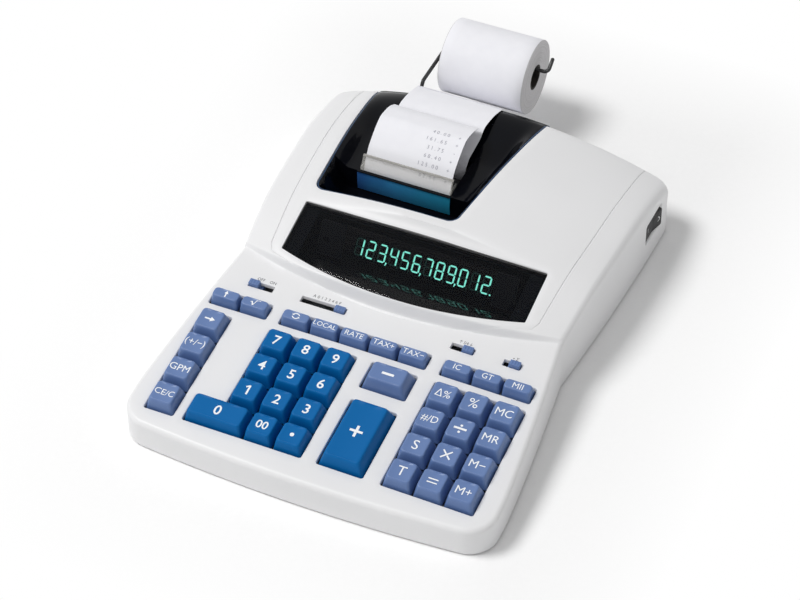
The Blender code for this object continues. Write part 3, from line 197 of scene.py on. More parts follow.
def table(value, rows):
    """Smooth curve through a table: cubics that meet with averaged slopes."""
    x, y = np.array(rows[0]), np.array(rows[1])
    slope = np.empty_like(y)
    slope[1:-1] = (y[2:] - y[:-2]) / (x[2:] - x[:-2])
    slope[0] = (y[1] - y[0]) / (x[1] - x[0])
    slope[-1] = (y[-1] - y[-2]) / (x[-1] - x[-2])
    value = np.clip(value, x[0], x[-1])
    k = np.clip(np.searchsorted(x, value, side="right") - 1, 0, len(x) - 2)
    span = x[k + 1] - x[k]
    t = (value - x[k]) / span
    return (y[k] * (2 * t ** 3 - 3 * t ** 2 + 1) + slope[k] * span * (t ** 3 - 2 * t ** 2 + t)
            + y[k + 1] * (3 * t ** 2 - 2 * t ** 3)
            + slope[k + 1] * span * (t ** 3 - t ** 2))


def half_width(station):
    """Half width of the case: level, then a power curve in to the waist and out again."""
    s = np.asarray(station, dtype=float)
    t = np.clip((s - WIDEST_STATION) / (WAIST_STATION - WIDEST_STATION), 0.0, 1.0)
    front = FRONT_HALF_WIDTH - (FRONT_HALF_WIDTH - WAIST_HALF_WIDTH) * t ** 1.25
    t = np.clip((s - WAIST_STATION) / (CASE_LENGTH - WAIST_STATION), 0.0, 1.0)
    rear = WAIST_HALF_WIDTH + (REAR_HALF_WIDTH - WAIST_HALF_WIDTH) * (1 - (1 - t) ** 1.8)
    return np.where(s < WAIST_STATION, front, rear)


def bow(station):
    """Forward bend of a cross line: grows from the front edge to the display, then fades."""
    s = np.asarray(station, dtype=float)
    front = FRONT_BOW + (HUMP_BOW - FRONT_BOW) * ease(s / WAIST_STATION)
    rear = HUMP_BOW * (1 - ease((s - WAIST_STATION) / (WINDOW_BACK - WAIST_STATION)))
    return np.where(s < WAIST_STATION, front, rear)


def station_at(x, y):
    """Cross line through a plan point: station = y + bow(station) (1 - u^2), iterated."""
    s = np.array(y, dtype=float)
    for _ in range(14):
        u = np.minimum(np.abs(x) / half_width(s), 1.0)
        s = y + bow(s) * (1 - u * u)
    return s


def hump(x, s):
    """Rear half: a parabola across, between the centre table and the side table."""
    u = np.minimum(np.abs(x) / half_width(s), 1.0)
    t = (s - WAIST_STATION) / (CASE_LENGTH - WAIST_STATION)
    centre = CASE_HEIGHT * table(t, CENTRE_TABLE)
    return centre - (centre - CASE_HEIGHT * table(t, SIDE_TABLE)) * u * u


def case_top(x, y):
    """Case surface: the sloping deck, blended into the hump over the lip."""
    x, y = np.asarray(x, dtype=float), np.asarray(y, dtype=float)
    s = station_at(x, y)
    u = np.minimum(np.abs(x) / half_width(s), 1.0)
    deck = KEY_TOP + math.tan(PLANE_ANGLE) * y - STAND_OUT / math.cos(PLANE_ANGLE)
    deck = deck - DECK_CROWN * u * u
    return deck + (hump(x, s) - deck) * ease((s - WAIST_STATION) / LIP_RUN)


def corner_cut(distance, radius):
    """Quarter circle: r - sqrt(r^2 - (r - d)^2) within the radius, nothing beyond it."""
    inside = np.clip(radius - distance, 0.0, radius)
    return radius - np.sqrt(np.maximum(radius ** 2 - inside ** 2, 0.0))


def edge_radius(station):
    """Edge rounding of the case, growing from the waist to the rear."""
    t = (station - WAIST_STATION) / (CASE_LENGTH - WAIST_STATION)
    return FRONT_EDGE_RADIUS + (REAR_EDGE_RADIUS - FRONT_EDGE_RADIUS) * ease(t)


def case_loop(inset=0.0, share=0.0):
    """Plan of the case drawn in by an inset plus a share of the edge rounding."""
    first = FRONT_BOW + inset + share * FRONT_EDGE_RADIUS
    last = CASE_LENGTH - inset - share * REAR_EDGE_RADIUS
    front_r = FRONT_CORNER - inset - share * FRONT_EDGE_RADIUS
    rear_r = REAR_CORNER - inset - share * REAR_EDGE_RADIUS
    turn = np.linspace(0.0, math.pi / 2, 15)
    s = np.concatenate((first + front_r * (1 - np.cos(turn)),
                        np.linspace(first + front_r, WAIST_STATION, 40)[1:-1],
                        np.linspace(WAIST_STATION, last - rear_r, 54)[:-1],
                        last - rear_r * (1 - np.cos(turn[::-1]))))
    side = half_width(s) - inset - share * edge_radius(s)
    side -= np.maximum(corner_cut(s - first, front_r), corner_cut(last - s, rear_r))
    right = np.stack((side, s - bow(s) * (1 - (side / half_width(s)) ** 2)), -1)
    x = np.linspace(-side[0], side[0], 61)[1:-1]
    front = np.stack((x, first - bow(first) * (1 - (x / half_width(first)) ** 2)), -1)
    x = np.linspace(side[-1], -side[-1], 61)[1:-1]
    back = np.stack((x, np.full_like(x, last)), -1)
    left = right[::-1] * (-1, 1)
    return np.concatenate((front, right, back, left))


def rounded_loop(corners, radii, grow=0.0, steps=6):
    """Polygon moved outwards by a distance, with an arc of constant count at each corner."""
    points = np.array(corners, dtype=float)
    ahead = np.roll(points, -1, 0) - points
    ahead /= np.linalg.norm(ahead, axis=1)[:, None]
    behind = np.roll(ahead, 1, 0)
    normal = np.stack((ahead[:, 1], -ahead[:, 0]), -1)
    normal_b = np.roll(normal, 1, 0)
    mitre = (normal + normal_b) / (1 + np.sum(normal * normal_b, 1))[:, None]
    centres = points + mitre * grow
    cross = behind[:, 0] * ahead[:, 1] - behind[:, 1] * ahead[:, 0]
    loop = []
    for p, a, b, turn, radius in zip(centres, behind, ahead, cross, radii):
        r = max(radius + (grow if turn > 0 else -grow), 0.0)
        if radius <= 0.0:
            loop.append(p[None])
            continue
        angle = math.acos(max(min(float(a @ b), 1.0), -1.0))
        reach = r * math.tan(angle / 2)
        t = np.linspace(0.0, 1.0, steps + 1)[:, None]
        side = np.array((-a[1], a[0])) * (1 if turn > 0 else -1)
        centre = p - a * reach + side * r
        start, end = -side, np.array((b[1], -b[0])) * (1 if turn > 0 else -1)
        bend = np.sin((1 - t) * angle) * start + np.sin(t * angle) * end
        loop.append(centre + r * bend / math.sin(angle))
    return np.concatenate(loop)


def dense(loop, gap, closed=True):
    """Same line with points no further apart than a gap."""
    ends = np.roll(loop, -1, 0) if closed else loop[1:]
    starts = loop if closed else loop[:-1]
    rows = []
    for a, b in zip(starts, ends):
        count = max(int(math.ceil(np.linalg.norm(b - a) / gap)), 1)
        rows.append(a + (b - a) * (np.arange(count) / count)[:, None])
    if not closed:
        rows.append(loop[-1:])
    return np.concatenate(rows)


def distance_to(points, lines, closed=True):
    """Least distance from each point to the segments of some lines."""
    starts = np.concatenate([line if closed else line[:-1] for line in lines])
    ends = np.concatenate([np.roll(line, -1, 0) if closed else line[1:] for line in lines])
    run = ends - starts
    square = np.maximum(np.sum(run * run, 1), 1e-18)
    found = np.empty(len(points))
    for k in range(0, len(points), 2000):
        gap = points[k:k + 2000, None] - starts
        t = np.clip(np.sum(gap * run, 2) / square, 0.0, 1.0)
        gap -= t[..., None] * run
        found[k:k + 2000] = np.sqrt(np.min(np.sum(gap * gap, 2), 1))
    return found


def inside(points, loop):
    """Even-odd crossing count of each point against a closed loop."""
    a, b = loop, np.roll(loop, -1, 0)
    found = np.empty(len(points), dtype=bool)
    for k in range(0, len(points), 2000):
        x = points[k:k + 2000, 0][:, None]
        y = points[k:k + 2000, 1][:, None]
        crosses = (a[:, 1] > y) != (b[:, 1] > y)
        rise = np.where(b[:, 1] == a[:, 1], 1.0, b[:, 1] - a[:, 1])
        where = a[:, 0] + (y - a[:, 1]) * (b[:, 0] - a[:, 0]) / rise
        found[k:k + 2000] = np.count_nonzero(crosses & (x < where), 1) % 2 == 1
    return found


def fill_plan(outer, holes, loops, lines, spacing):
    """Triangles over a plan: a staggered grid of points, with every line kept as edges."""
    closed = [outer] + holes + loops
    low, high = outer.min(0), outer.max(0)
    ys = np.arange(low[1], high[1], spacing * 0.866)
    xs = np.arange(low[0], high[0], spacing)
    grid = np.stack(np.meshgrid(xs, ys), -1)
    grid[1::2, :, 0] += spacing / 2
    grid = grid.reshape(-1, 2)
    keep = inside(grid, outer) & (distance_to(grid, closed) > spacing * 0.55)
    if lines:
        keep &= distance_to(grid, lines, False) > spacing * 0.55
    parts, edges, count = [], [], 0
    for line in closed + lines:
        index = np.arange(len(line)) + count
        ends = np.roll(index, -1)
        pairs = np.stack((index, ends), -1)
        edges.append(pairs if any(line is item for item in closed) else pairs[:-1])
        parts.append(line)
        count += len(line)
    points = np.concatenate(parts + [grid[keep]]) * 1000
    result = geometry.delaunay_2d_cdt([Vector(p) for p in points],
                                      np.concatenate(edges).tolist(), [], 0, 1e-4)
    points = np.array([tuple(p) for p in result[0]]) / 1000
    triangles = np.array(result[2])
    middle = points[triangles].mean(1)
    kept = inside(middle, outer)
    for hole in holes:
        kept &= ~inside(middle, hole)
    return points, triangles[kept]


def shell_of(points, triangles, top, under, rim=None, foot=None):
    """Closed shell over a plan: its top, the underside, and a wall at each open edge.

    Triangles marked as rim reach down to the foot instead of the underside.
    """
    n = len(points)
    rim = np.zeros(len(triangles), dtype=bool) if rim is None else rim
    foot = under if foot is None else foot
    layers = [np.column_stack((points, z)) for z in (top, under, foot)]
    lower = np.where(rim[:, None], triangles + 2 * n, triangles + n)[:, ::-1]
    ends = np.concatenate([triangles[:, [i, (i + 1) % 3]] for i in range(3)])
    owner = np.tile(np.arange(len(triangles)), 3)
    key = ends.min(1) * n + ends.max(1)
    order = np.argsort(key, kind="stable")
    key, ends, owner = key[order], ends[order], owner[order]
    first = np.flatnonzero(np.r_[True, key[1:] != key[:-1]])
    size = np.diff(np.r_[first, len(key)])
    open_edge = first[size == 1]
    a, b = ends[open_edge].T
    deep = rim[owner[open_edge]]
    walls = [np.stack((b, a, a + n, b + n), -1),
             np.stack((b + n, a + n, a + 2 * n, b + 2 * n), -1)[deep]]
    pair = first[size == 2]
    pair = pair[rim[owner[pair]] != rim[owner[pair + 1]]]
    inner = np.where(rim[owner[pair]], pair + 1, pair)
    a, b = ends[inner].T
    walls.append(np.stack((a + n, b + n, b + 2 * n, a + 2 * n), -1))
    return np.concatenate(layers), [triangles, lower] + walls


def join(pieces):
    """Several (points, faces) shapes as one."""
    points, faces, count = [], [], 0
    for piece_points, piece_faces in pieces:
        points.append(piece_points)
        faces += [group + count for group in piece_faces]
        count += len(piece_points)
    return np.concatenate(points), faces


def loft(rings, closed_ends=True):
    """Rings of equal count joined in order, with a fan at each end. rings: (m, n, 3)."""
    m, n, _ = rings.shape
    index = np.arange(m * n).reshape(m, n)
    ahead = np.roll(index, -1, 1)
    quads = np.stack((index[:-1], ahead[:-1], ahead[1:], index[1:]), -1).reshape(-1, 4)
    points = rings.reshape(-1, 3)
    if not closed_ends:
        return points, [quads]
    points = np.concatenate((points, rings[0].mean(0)[None], rings[-1].mean(0)[None]))
    start = np.stack((ahead[0], index[0], np.full(n, m * n)), -1)
    end = np.stack((index[-1], ahead[-1], np.full(n, m * n + 1)), -1)
    return points, [quads, start, end]


def ring_plan(half_x, half_y, radius, arc=6, side=3):
    """Rounded rectangles in plan, one for each row of sizes, counter-clockwise."""
    half_x, half_y, radius = (np.atleast_1d(np.asarray(v, dtype=float)) for v in
                              (half_x, half_y, radius))
    rows = []
    signs = ((1, -1), (1, 1), (-1, 1), (-1, -1))
    for k, (sx, sy) in enumerate(signs):
        turn = math.pi * (k / 2 - 0.5) + np.linspace(0.0, math.pi / 2, arc + 1)
        x = sx * (half_x - radius)[:, None] + radius[:, None] * np.cos(turn)
        y = sy * (half_y - radius)[:, None] + radius[:, None] * np.sin(turn)
        rows.append(np.stack((x, y), -1))
        nx, ny = signs[(k + 1) % 4]
        end_x = nx * (half_x - radius) + radius * math.cos(turn[-1])
        end_y = ny * (half_y - radius) + radius * math.sin(turn[-1])
        t = np.arange(1, side + 1) / (side + 1)
        x = x[:, -1:] + (end_x[:, None] - x[:, -1:]) * t
        y = y[:, -1:] + (end_y[:, None] - y[:, -1:]) * t
        rows.append(np.stack((x, y), -1))
    return np.concatenate(rows, 1)


def make_piece(name, shape, materials, kinds=None, angle=35.0, smooth=True):
    """Mesh object from points and groups of faces; each group has its material's number."""
    points, groups = shape
    used = np.unique(np.concatenate([group.ravel() for group in groups]))
    renumber = np.full(len(points), -1)
    renumber[used] = np.arange(len(used))
    mesh = bpy.data.meshes.new(name)
    faces = [face for group in groups for face in renumber[group].tolist()]
    mesh.from_pydata(points[used].tolist(), [], faces)
    for material in materials:
        mesh.materials.append(material)
    if kinds is not None:
        index = np.concatenate([np.full(len(group), kind, dtype=np.int32)
                                for group, kind in zip(groups, kinds)])
        mesh.polygons.foreach_set("material_index", index)
    if smooth:
        mesh.shade_smooth()
        mesh.set_sharp_from_angle(angle=math.radians(angle))
    mesh.validate()
    item = bpy.data.objects.new(name, mesh)
    bpy.context.scene.collection.objects.link(item)
    return item


def seat(item, body, node=None):
    """Let a piece ride on its body, and stand for a node where it has one."""
    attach(item, body)
    if node:
        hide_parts(*([node] if isinstance(node, str) else node))
    return item


LETTERS = {}


def letters(text, size, weight=0.0):
    """Flat outline of a short text about its own middle: points and triangles."""
    key = (text, size, weight)
    if key not in LETTERS:
        curve = bpy.data.curves.new("letters", "FONT")
        curve.body = text
        curve.offset = weight
        curve.resolution_u = 4
        curve.fill_mode = "FRONT"
        curve.align_x = "LEFT"
        holder = bpy.data.objects.new("letters", curve)
        bpy.context.scene.collection.objects.link(holder)
        graph = bpy.context.evaluated_depsgraph_get()
        mesh = bpy.data.meshes.new_from_object(holder.evaluated_get(graph))
        mesh.calc_loop_triangles()
        points = np.empty(len(mesh.vertices) * 3)
        mesh.vertices.foreach_get("co", points)
        points = points.reshape(-1, 3)[:, :2]
        triangles = np.empty(len(mesh.loop_triangles) * 3, dtype=np.int32)
        mesh.loop_triangles.foreach_get("vertices", triangles)
        triangles = triangles.reshape(-1, 3)
        bpy.data.objects.remove(holder, do_unlink=True)
        bpy.data.curves.remove(curve)
        bpy.data.meshes.remove(mesh)
        points = (points - (points.min(0) + points.max(0)) / 2) * size
        a, b, c = (points[triangles[:, i]] for i in range(3))
        turn = ((b - a)[:, 0] * (c - a)[:, 1] - (b - a)[:, 1] * (c - a)[:, 0]) < 0
        triangles[turn] = triangles[turn][:, ::-1]
        LETTERS[key] = (points, triangles)
    return LETTERS[key]


def circle(count):
    """Unit circle as points, starting on the first axis."""
    angle = np.linspace(0.0, 2 * math.pi, count, endpoint=False)
    return np.stack((np.cos(angle), np.sin(angle)), -1)


def raised(rings, levels):
    """Loft of plan rings, each ring or point at its own height."""
    levels = np.asarray(levels, dtype=float)
    if levels.ndim == 1:
        levels = levels[:, None]
    level = np.broadcast_to(levels, rings.shape[:2])
    return loft(np.concatenate((rings, level[..., None]), -1))


def heading(path):
    """Unit vectors along a path at its points."""
    ahead = np.gradient(path, axis=0)
    return ahead / np.linalg.norm(ahead, axis=1)[:, None]


def distance_run(path):
    """Length along a path at its points."""
    steps = np.linalg.norm(np.diff(path, axis=0), axis=1)
    return np.concatenate(([0.0], np.cumsum(steps)))


def merge_flat(parts):
    """Several flat outlines as one."""
    rows, faces, count = [], [], 0
    for points, triangles in parts:
        rows.append(points)
        faces.append(triangles + count)
        count += len(points)
    return np.concatenate(rows), np.concatenate(faces)


def panel_size(name):
    """A size from the panel, without the noise of its single precision."""
    return round(getattr(bpy.context.scene.calculator_sizes, name), 7)


def bar(start, end, width):
    """Flat stroke between two points, as one square-ended quad."""
    start, end = np.array(start, dtype=float), np.array(end, dtype=float)
    along = (end - start) / np.linalg.norm(end - start)
    side = np.array((-along[1], along[0])) * width / 2
    return np.array((start - side, end - side, end + side, start + side))


# Finishes

def linear(code):
    """sRGB hex code as linear red, green, blue and alpha; a property's colour stays."""
    if not isinstance(code, str):
        return list(code)
    values = [int(code[i:i + 2], 16) / 255 for i in (0, 2, 4)]
    return [v / 12.92 if v <= 0.04045 else ((v + 0.055) / 1.055) ** 2.4 for v in values] + [1.0]


def give(tree, item, inputs):
    """Set a node's inputs: each is a value or another node's output."""
    for key, value in inputs.items():
        if isinstance(value, bpy.types.NodeSocket):
            tree.links.new(value, item.inputs[key])
        else:
            item.inputs[key].default_value = value


def add(tree, kind, inputs=(), **settings):
    """Add a node with its settings; each input is a value or another node's output."""
    item = tree.nodes.new("ShaderNode" + kind)
    for key, value in settings.items():
        setattr(item, key, value)
    give(tree, item, dict(inputs))
    return item


def start(name):
    """New node material, its tree, its shader and the Object coordinates."""
    material = bpy.data.materials.new(name)
    material.use_nodes = True
    tree = material.node_tree
    shader = tree.nodes["Principled BSDF"]
    return material, tree, shader, add(tree, "TexCoord").outputs["Object"]


def shade(colour, factor):
    """The same colour a little darker or lighter."""
    return [v * factor for v in linear(colour)[:3]] + [1.0]


def moulded(name, colour, deep, grain, bump, roughness, specular=0.5):
    """Injection-moulded plastic from a spark-eroded tool.

    Fine cells of the given grain roughen it; slow clouds shift its colour a little.
    """
    material, tree, shader, place = start(name)
    clouds = add(tree, "TexNoise", {"Vector": place, "Scale": 18.0, "Detail": 2.0})
    fine = add(tree, "TexNoise", {"Vector": place, "Scale": 1.0 / grain, "Detail": 3.0,
                                  "Roughness": 0.6})
    mixed = add(tree, "Mix", {"Factor": clouds.outputs["Fac"], 6: linear(colour),
                              7: shade(colour, deep)}, data_type="RGBA")
    tree.links.new(mixed.outputs[2], shader.inputs["Base Color"])
    rough = add(tree, "MapRange", {"Value": fine.outputs["Fac"], "To Min": roughness - 0.06,
                                   "To Max": roughness + 0.06})
    tree.links.new(rough.outputs["Result"], shader.inputs["Roughness"])
    relief = add(tree, "Bump", {"Height": fine.outputs["Fac"], "Strength": bump,
                                "Distance": grain * 0.12})
    give(tree, shader, {"Normal": relief.outputs["Normal"], "Specular IOR Level": specular})
    return material


def glossy(name, colour, cloud, roughness, specular, alpha=1.0):
    """Polished acrylic or polycarbonate: clear hard gloss, faint flow clouds inside."""
    material, tree, shader, place = start(name)
    clouds = add(tree, "TexNoise", {"Vector": place, "Scale": 35.0, "Detail": 1.5})
    mixed = add(tree, "Mix", {"Factor": clouds.outputs["Fac"], 6: linear(colour),
                              7: linear(cloud)}, data_type="RGBA")
    tree.links.new(mixed.outputs[2], shader.inputs["Base Color"])
    smear = add(tree, "TexNoise", {"Vector": place, "Scale": 90.0, "Detail": 2.0})
    rough = add(tree, "MapRange", {"Value": smear.outputs["Fac"], "To Min": roughness * 0.6,
                                   "To Max": roughness * 1.4})
    give(tree, shader, {"Roughness": rough.outputs["Result"], "Specular IOR Level": specular,
                        "IOR": 1.49, "Alpha": alpha})
    return material


def metal(name, colour, roughness, streak):
    """Rolled and plated steel: streaks along the sheet, softly uneven shine."""
    material, tree, shader, place = start(name)
    stretched = add(tree, "Mapping", {"Vector": place, "Scale": (40.0, 900.0, 900.0)})
    streaks = add(tree, "TexNoise", {"Vector": stretched.outputs["Vector"], "Scale": 1.0,
                                     "Detail": 3.0})
    give(tree, shader, {"Base Color": linear(colour), "Metallic": 1.0})
    rough = add(tree, "MapRange", {"Value": streaks.outputs["Fac"],
                                   "To Min": roughness - streak, "To Max": roughness + streak})
    tree.links.new(rough.outputs["Result"], shader.inputs["Roughness"])
    relief = add(tree, "Bump", {"Height": streaks.outputs["Fac"], "Strength": 0.15,
                                "Distance": 0.00005})
    tree.links.new(relief.outputs["Normal"], shader.inputs["Normal"])
    return material


def paper_finish(name, colour, deep):
    """Uncoated journal paper: matt fibres, a soft cloudy formation when lit."""
    material, tree, shader, place = start(name)
    fibres = add(tree, "TexNoise", {"Vector": place, "Scale": 900.0, "Detail": 4.0,
                                    "Roughness": 0.7})
    clouds = add(tree, "TexNoise", {"Vector": place, "Scale": 120.0, "Detail": 2.0})
    mixed = add(tree, "Mix", {"Factor": clouds.outputs["Fac"], 6: linear(colour),
                              7: linear(deep)}, data_type="RGBA")
    tree.links.new(mixed.outputs[2], shader.inputs["Base Color"])
    relief = add(tree, "Bump", {"Height": fibres.outputs["Fac"], "Strength": 0.12,
                                "Distance": 0.00004})
    give(tree, shader, {"Normal": relief.outputs["Normal"], "Roughness": 0.85,
                        "Specular IOR Level": 0.2})
    return material


def roll_end_finish():
    """Cut end of the wound paper: fine rings a sheet or two apart, drawn 0.5 mm apart, in greys
    darker than the paper as painted shade.
    """
    material, tree, shader, place = start("wound_paper_end_painted_shade")
    centred = add(tree, "Mapping", {"Vector": place, "Location": (0.0, HALF_LENGTH - ROLL_Y,
                                                                  -ROLL_Z)})
    flat = add(tree, "VectorMath", {0: centred.outputs["Vector"], 1: (0.0, 1.0, 1.0)},
               operation="MULTIPLY")
    radius = add(tree, "VectorMath", {0: flat.outputs["Vector"]}, operation="LENGTH")
    scaled = add(tree, "Math", {0: radius.outputs["Value"], 1: 2000.0}, operation="MULTIPLY")
    rings = add(tree, "TexNoise", {"W": scaled.outputs["Value"], "Scale": 1.0, "Detail": 3.0},
                noise_dimensions="1D")
    ramp = add(tree, "ValToRGB", {"Fac": rings.outputs["Fac"]})
    # Greys well below the paper's white: painted shade on the end face.
    ramp.color_ramp.elements[0].color = linear("B9B7B8")
    ramp.color_ramp.elements[1].color = linear("D6D5D7")
    ramp.color_ramp.elements[0].position = 0.3
    ramp.color_ramp.elements[1].position = 0.7
    tree.links.new(ramp.outputs["Color"], shader.inputs["Base Color"])
    relief = add(tree, "Bump", {"Height": rings.outputs["Fac"], "Strength": 0.5,
                                "Distance": 0.0001})
    give(tree, shader, {"Normal": relief.outputs["Normal"], "Roughness": 0.9})
    return material


def box_face_finish():
    """Blue polycarbonate, its own blue lifted lighter and turning from navy at its left end to
    teal at the right as painted light; faintly clouded.
    """
    material, tree, shader, place = start("blue_polycarbonate_painted_light")
    across = add(tree, "SeparateXYZ", {0: place}).outputs["X"]
    clouds = add(tree, "TexNoise", {"Vector": place, "Scale": 60.0, "Detail": 2.0})
    spread = add(tree, "MapRange", {"Value": clouds.outputs["Fac"], "To Min": -0.012,
                                    "To Max": 0.012})
    moved = add(tree, "Math", {0: across, 1: spread.outputs["Result"]})
    share = add(tree, "MapRange", {"Value": moved.outputs["Value"],
                                   "From Min": PRINT_CENTRE - 0.030,
                                   "From Max": PRINT_CENTRE + 0.030})
    ramp = add(tree, "ValToRGB", {"Fac": share.outputs["Result"]})
    # Navy to teal across the face, lighter than the plastic's own blue: painted light.
    ramp.color_ramp.elements[0].color = linear("2E5FA0")
    ramp.color_ramp.elements[1].color = linear("2A94B8")
    middle = ramp.color_ramp.elements.new(0.4)
    middle.color = linear("3A8CC4")
    give(tree, shader, {"Base Color": ramp.outputs["Color"], "Roughness": 0.12,
                        "Specular IOR Level": 0.3})
    return material


def card_finish():
    """Wound brown board of the roll's core: spiral bands, fuzzy and matt; its near-black tone is
    painted shade inside the bore.
    """
    material, tree, shader, place = start("core_board_painted_shade")
    bands = add(tree, "TexWave", {"Vector": place, "Scale": 60.0, "Distortion": 1.5,
                                  "Detail": 2.0}, bands_direction="DIAGONAL")
    ramp = add(tree, "ValToRGB", {"Fac": bands.outputs["Fac"]})
    # Near-black browns: the board's colour darkened into painted shade.
    ramp.color_ramp.elements[0].color = linear("1E1B18")
    ramp.color_ramp.elements[1].color = linear("2E2A25")
    give(tree, shader, {"Base Color": ramp.outputs["Color"], "Roughness": 0.95})
    return material


def glow(name, colour, strength):
    """Phosphor under the tube's glass, with an even emission: its own light for the lit digits, a
    painted glow for the unlit segments.
    """
    material, tree, shader, place = start(name)
    grain = add(tree, "TexNoise", {"Vector": place, "Scale": 1500.0, "Detail": 1.0})
    level = add(tree, "MapRange", {"Value": grain.outputs["Fac"], "To Min": strength * 0.9,
                                   "To Max": strength * 1.1})
    give(tree, shader, {"Base Color": linear("0A1412"), "Emission Color": linear(colour),
                        "Emission Strength": level.outputs["Result"]})
    return material


def board_finish():
    """Green solder-mask board: faint tracks under the lacquer, satin."""
    material, tree, shader, place = start("solder_masked_board")
    tracks = add(tree, "TexBrick", {"Vector": place, "Scale": 160.0, "Mortar Size": 0.03,
                                    "Color1": linear("1F5A38"), "Color2": linear("235F3D"),
                                    "Mortar": linear("3E7A4E")})
    give(tree, shader, {"Base Color": tracks.outputs["Color"], "Roughness": 0.35})
    return material


def laminated_finish():
    """Stacked transformer steel: sheets 0.5 mm thick with dark lacquer between them."""
    material, tree, shader, place = start("laminated_core_steel")
    sheets = add(tree, "TexWave", {"Vector": place, "Scale": 320.0, "Distortion": 0.2},
                 bands_direction="X")
    ramp = add(tree, "ValToRGB", {"Fac": sheets.outputs["Fac"]})
    ramp.color_ramp.elements[0].color = linear("2E2A26")
    ramp.color_ramp.elements[1].color = linear("6E6860")
    give(tree, shader, {"Base Color": ramp.outputs["Color"], "Metallic": 0.6, "Roughness": 0.5})
    return material


def floor_pan_finish():
    """Moulded grey floor pan; the lowest part of each foot is a dark rubber pad."""
    material = moulded("moulded_pan_abs", "C4C2BD", 0.94, 0.0006, 0.25, 0.5)
    tree = material.node_tree
    shader = tree.nodes["Principled BSDF"]
    body = shader.inputs["Base Color"].links[0].from_socket
    place = add(tree, "TexCoord").outputs["Object"]
    height = add(tree, "SeparateXYZ", {0: place}).outputs["Z"]
    low = add(tree, "Math", {0: height, 1: 0.0011}, operation="LESS_THAN")
    mixed = add(tree, "Mix", {"Factor": low.outputs["Value"], 6: body, 7: linear("26262A")},
                data_type="RGBA")
    tree.links.new(mixed.outputs[2], shader.inputs["Base Color"])
    return material


FINISH = {}


def make_finishes(looks):
    """Every finish once, named for the real material."""
    # Off-white ABS with a fine spark-eroded skin: soft satin highlights, slightly warm
    FINISH["shell"] = moulded("off_white_moulded_abs", looks.shell_colour, 0.94, 0.0006,
                              0.22, 0.42)
    # Key caps in ABS: smoother tool, a satin shine that picks out the dished tops
    FINISH["blue"] = moulded("bright_blue_abs_cap", looks.number_colour, 0.94, 0.0005,
                             0.12, 0.46, 0.14)
    FINISH["slate"] = moulded("slate_blue_abs_cap", looks.function_colour, 0.94, 0.0005,
                              0.12, 0.38)
    # White pad-printed ink: flat, a little glossier than the cap
    FINISH["legend"] = moulded("white_printed_ink", looks.legend_colour, 0.96, 0.0003, 0.05, 0.45)
    FINISH["mark"] = moulded("grey_printed_ink", "55565A", 1.1, 0.0003, 0.05, 0.5)
    # Smoked acrylic lens: hard gloss over a dark see-through body
    FINISH["lens"] = glossy("smoked_acrylic_lens", "020306", "04070C", 0.03, 0.12, 0.48)
    FINISH["bezel"] = glossy("navy_bezel_plastic", "0E1826", "131F30", 0.25, 0.3)
    FINISH["tube"] = glossy("dark_tube_glass", "050608", "080A0C", 0.08, 0.3)
    # Polished black floor of the display tub: it mirrors the lit digits
    FINISH["tub"] = glossy("polished_black_acrylic", "020203", "040406", 0.02, 1.0)
    FINISH["tub"].node_tree.nodes["Principled BSDF"].inputs["IOR"].default_value = 1.7
    FINISH["block"] = glossy("tube_end_block", "1A1D28", "20242F", 0.3, 0.3)
    FINISH["lit"] = glow("lit_phosphor", looks.digit_colour, looks.digit_glow)
    # The unlit segments give no light of their own: their faint emission is a painted glow.
    FINISH["unlit"] = glow("unlit_phosphor_painted_glow", "2C7A70", 0.26)
    # Smoked polycarbonate cover: deep blue-black, sharp gloss. The lighter blue band along its
    # edge is a painted highlight, and the teal of the box face is painted light.
    FINISH["cover"] = glossy("smoked_polycarbonate_cover", "06070B", "090B12", 0.10, 0.10)
    FINISH["face"] = box_face_finish()
    FINISH["rim"] = glossy("painted_blue_edge_highlight", "1E3A5C", "24466A", 0.15, 0.4)
    FINISH["clear"] = glossy("clear_acrylic_tear_bar", "F8F6F0", "F0EEE8", 0.12, 0.3, 0.18)
    FINISH["edge"] = glossy("ground_acrylic_edge", "A09E9A", "ACAAA6", 0.3, 0.3)
    FINISH["paper"] = paper_finish("uncoated_journal_paper", "F4F4F8", "EDEDF2")
    FINISH["roll_end"] = roll_end_finish()
    FINISH["card"] = card_finish()
    FINISH["ink"] = moulded("faint_ribbon_ink", "9C9CA6", 1.2, 0.0004, 0.1, 0.8)
    FINISH["wire"] = glossy("black_enamelled_wire", "08080A", "0D0D10", 0.22, 0.5)
    FINISH["steel"] = metal("zinc_plated_steel", "A8AAAE", 0.36, 0.1)
    FINISH["dark"] = moulded("black_moulded_abs", "0C0C0E", 1.2, 0.0005, 0.15, 0.42, 0.3)
    FINISH["rubber"] = moulded("platen_rubber", "1C1C1E", 1.2, 0.0008, 0.3, 0.8, 0.2)
    FINISH["board"] = board_finish()
    FINISH["core"] = laminated_finish()
    FINISH["pan"] = floor_pan_finish()


# Case

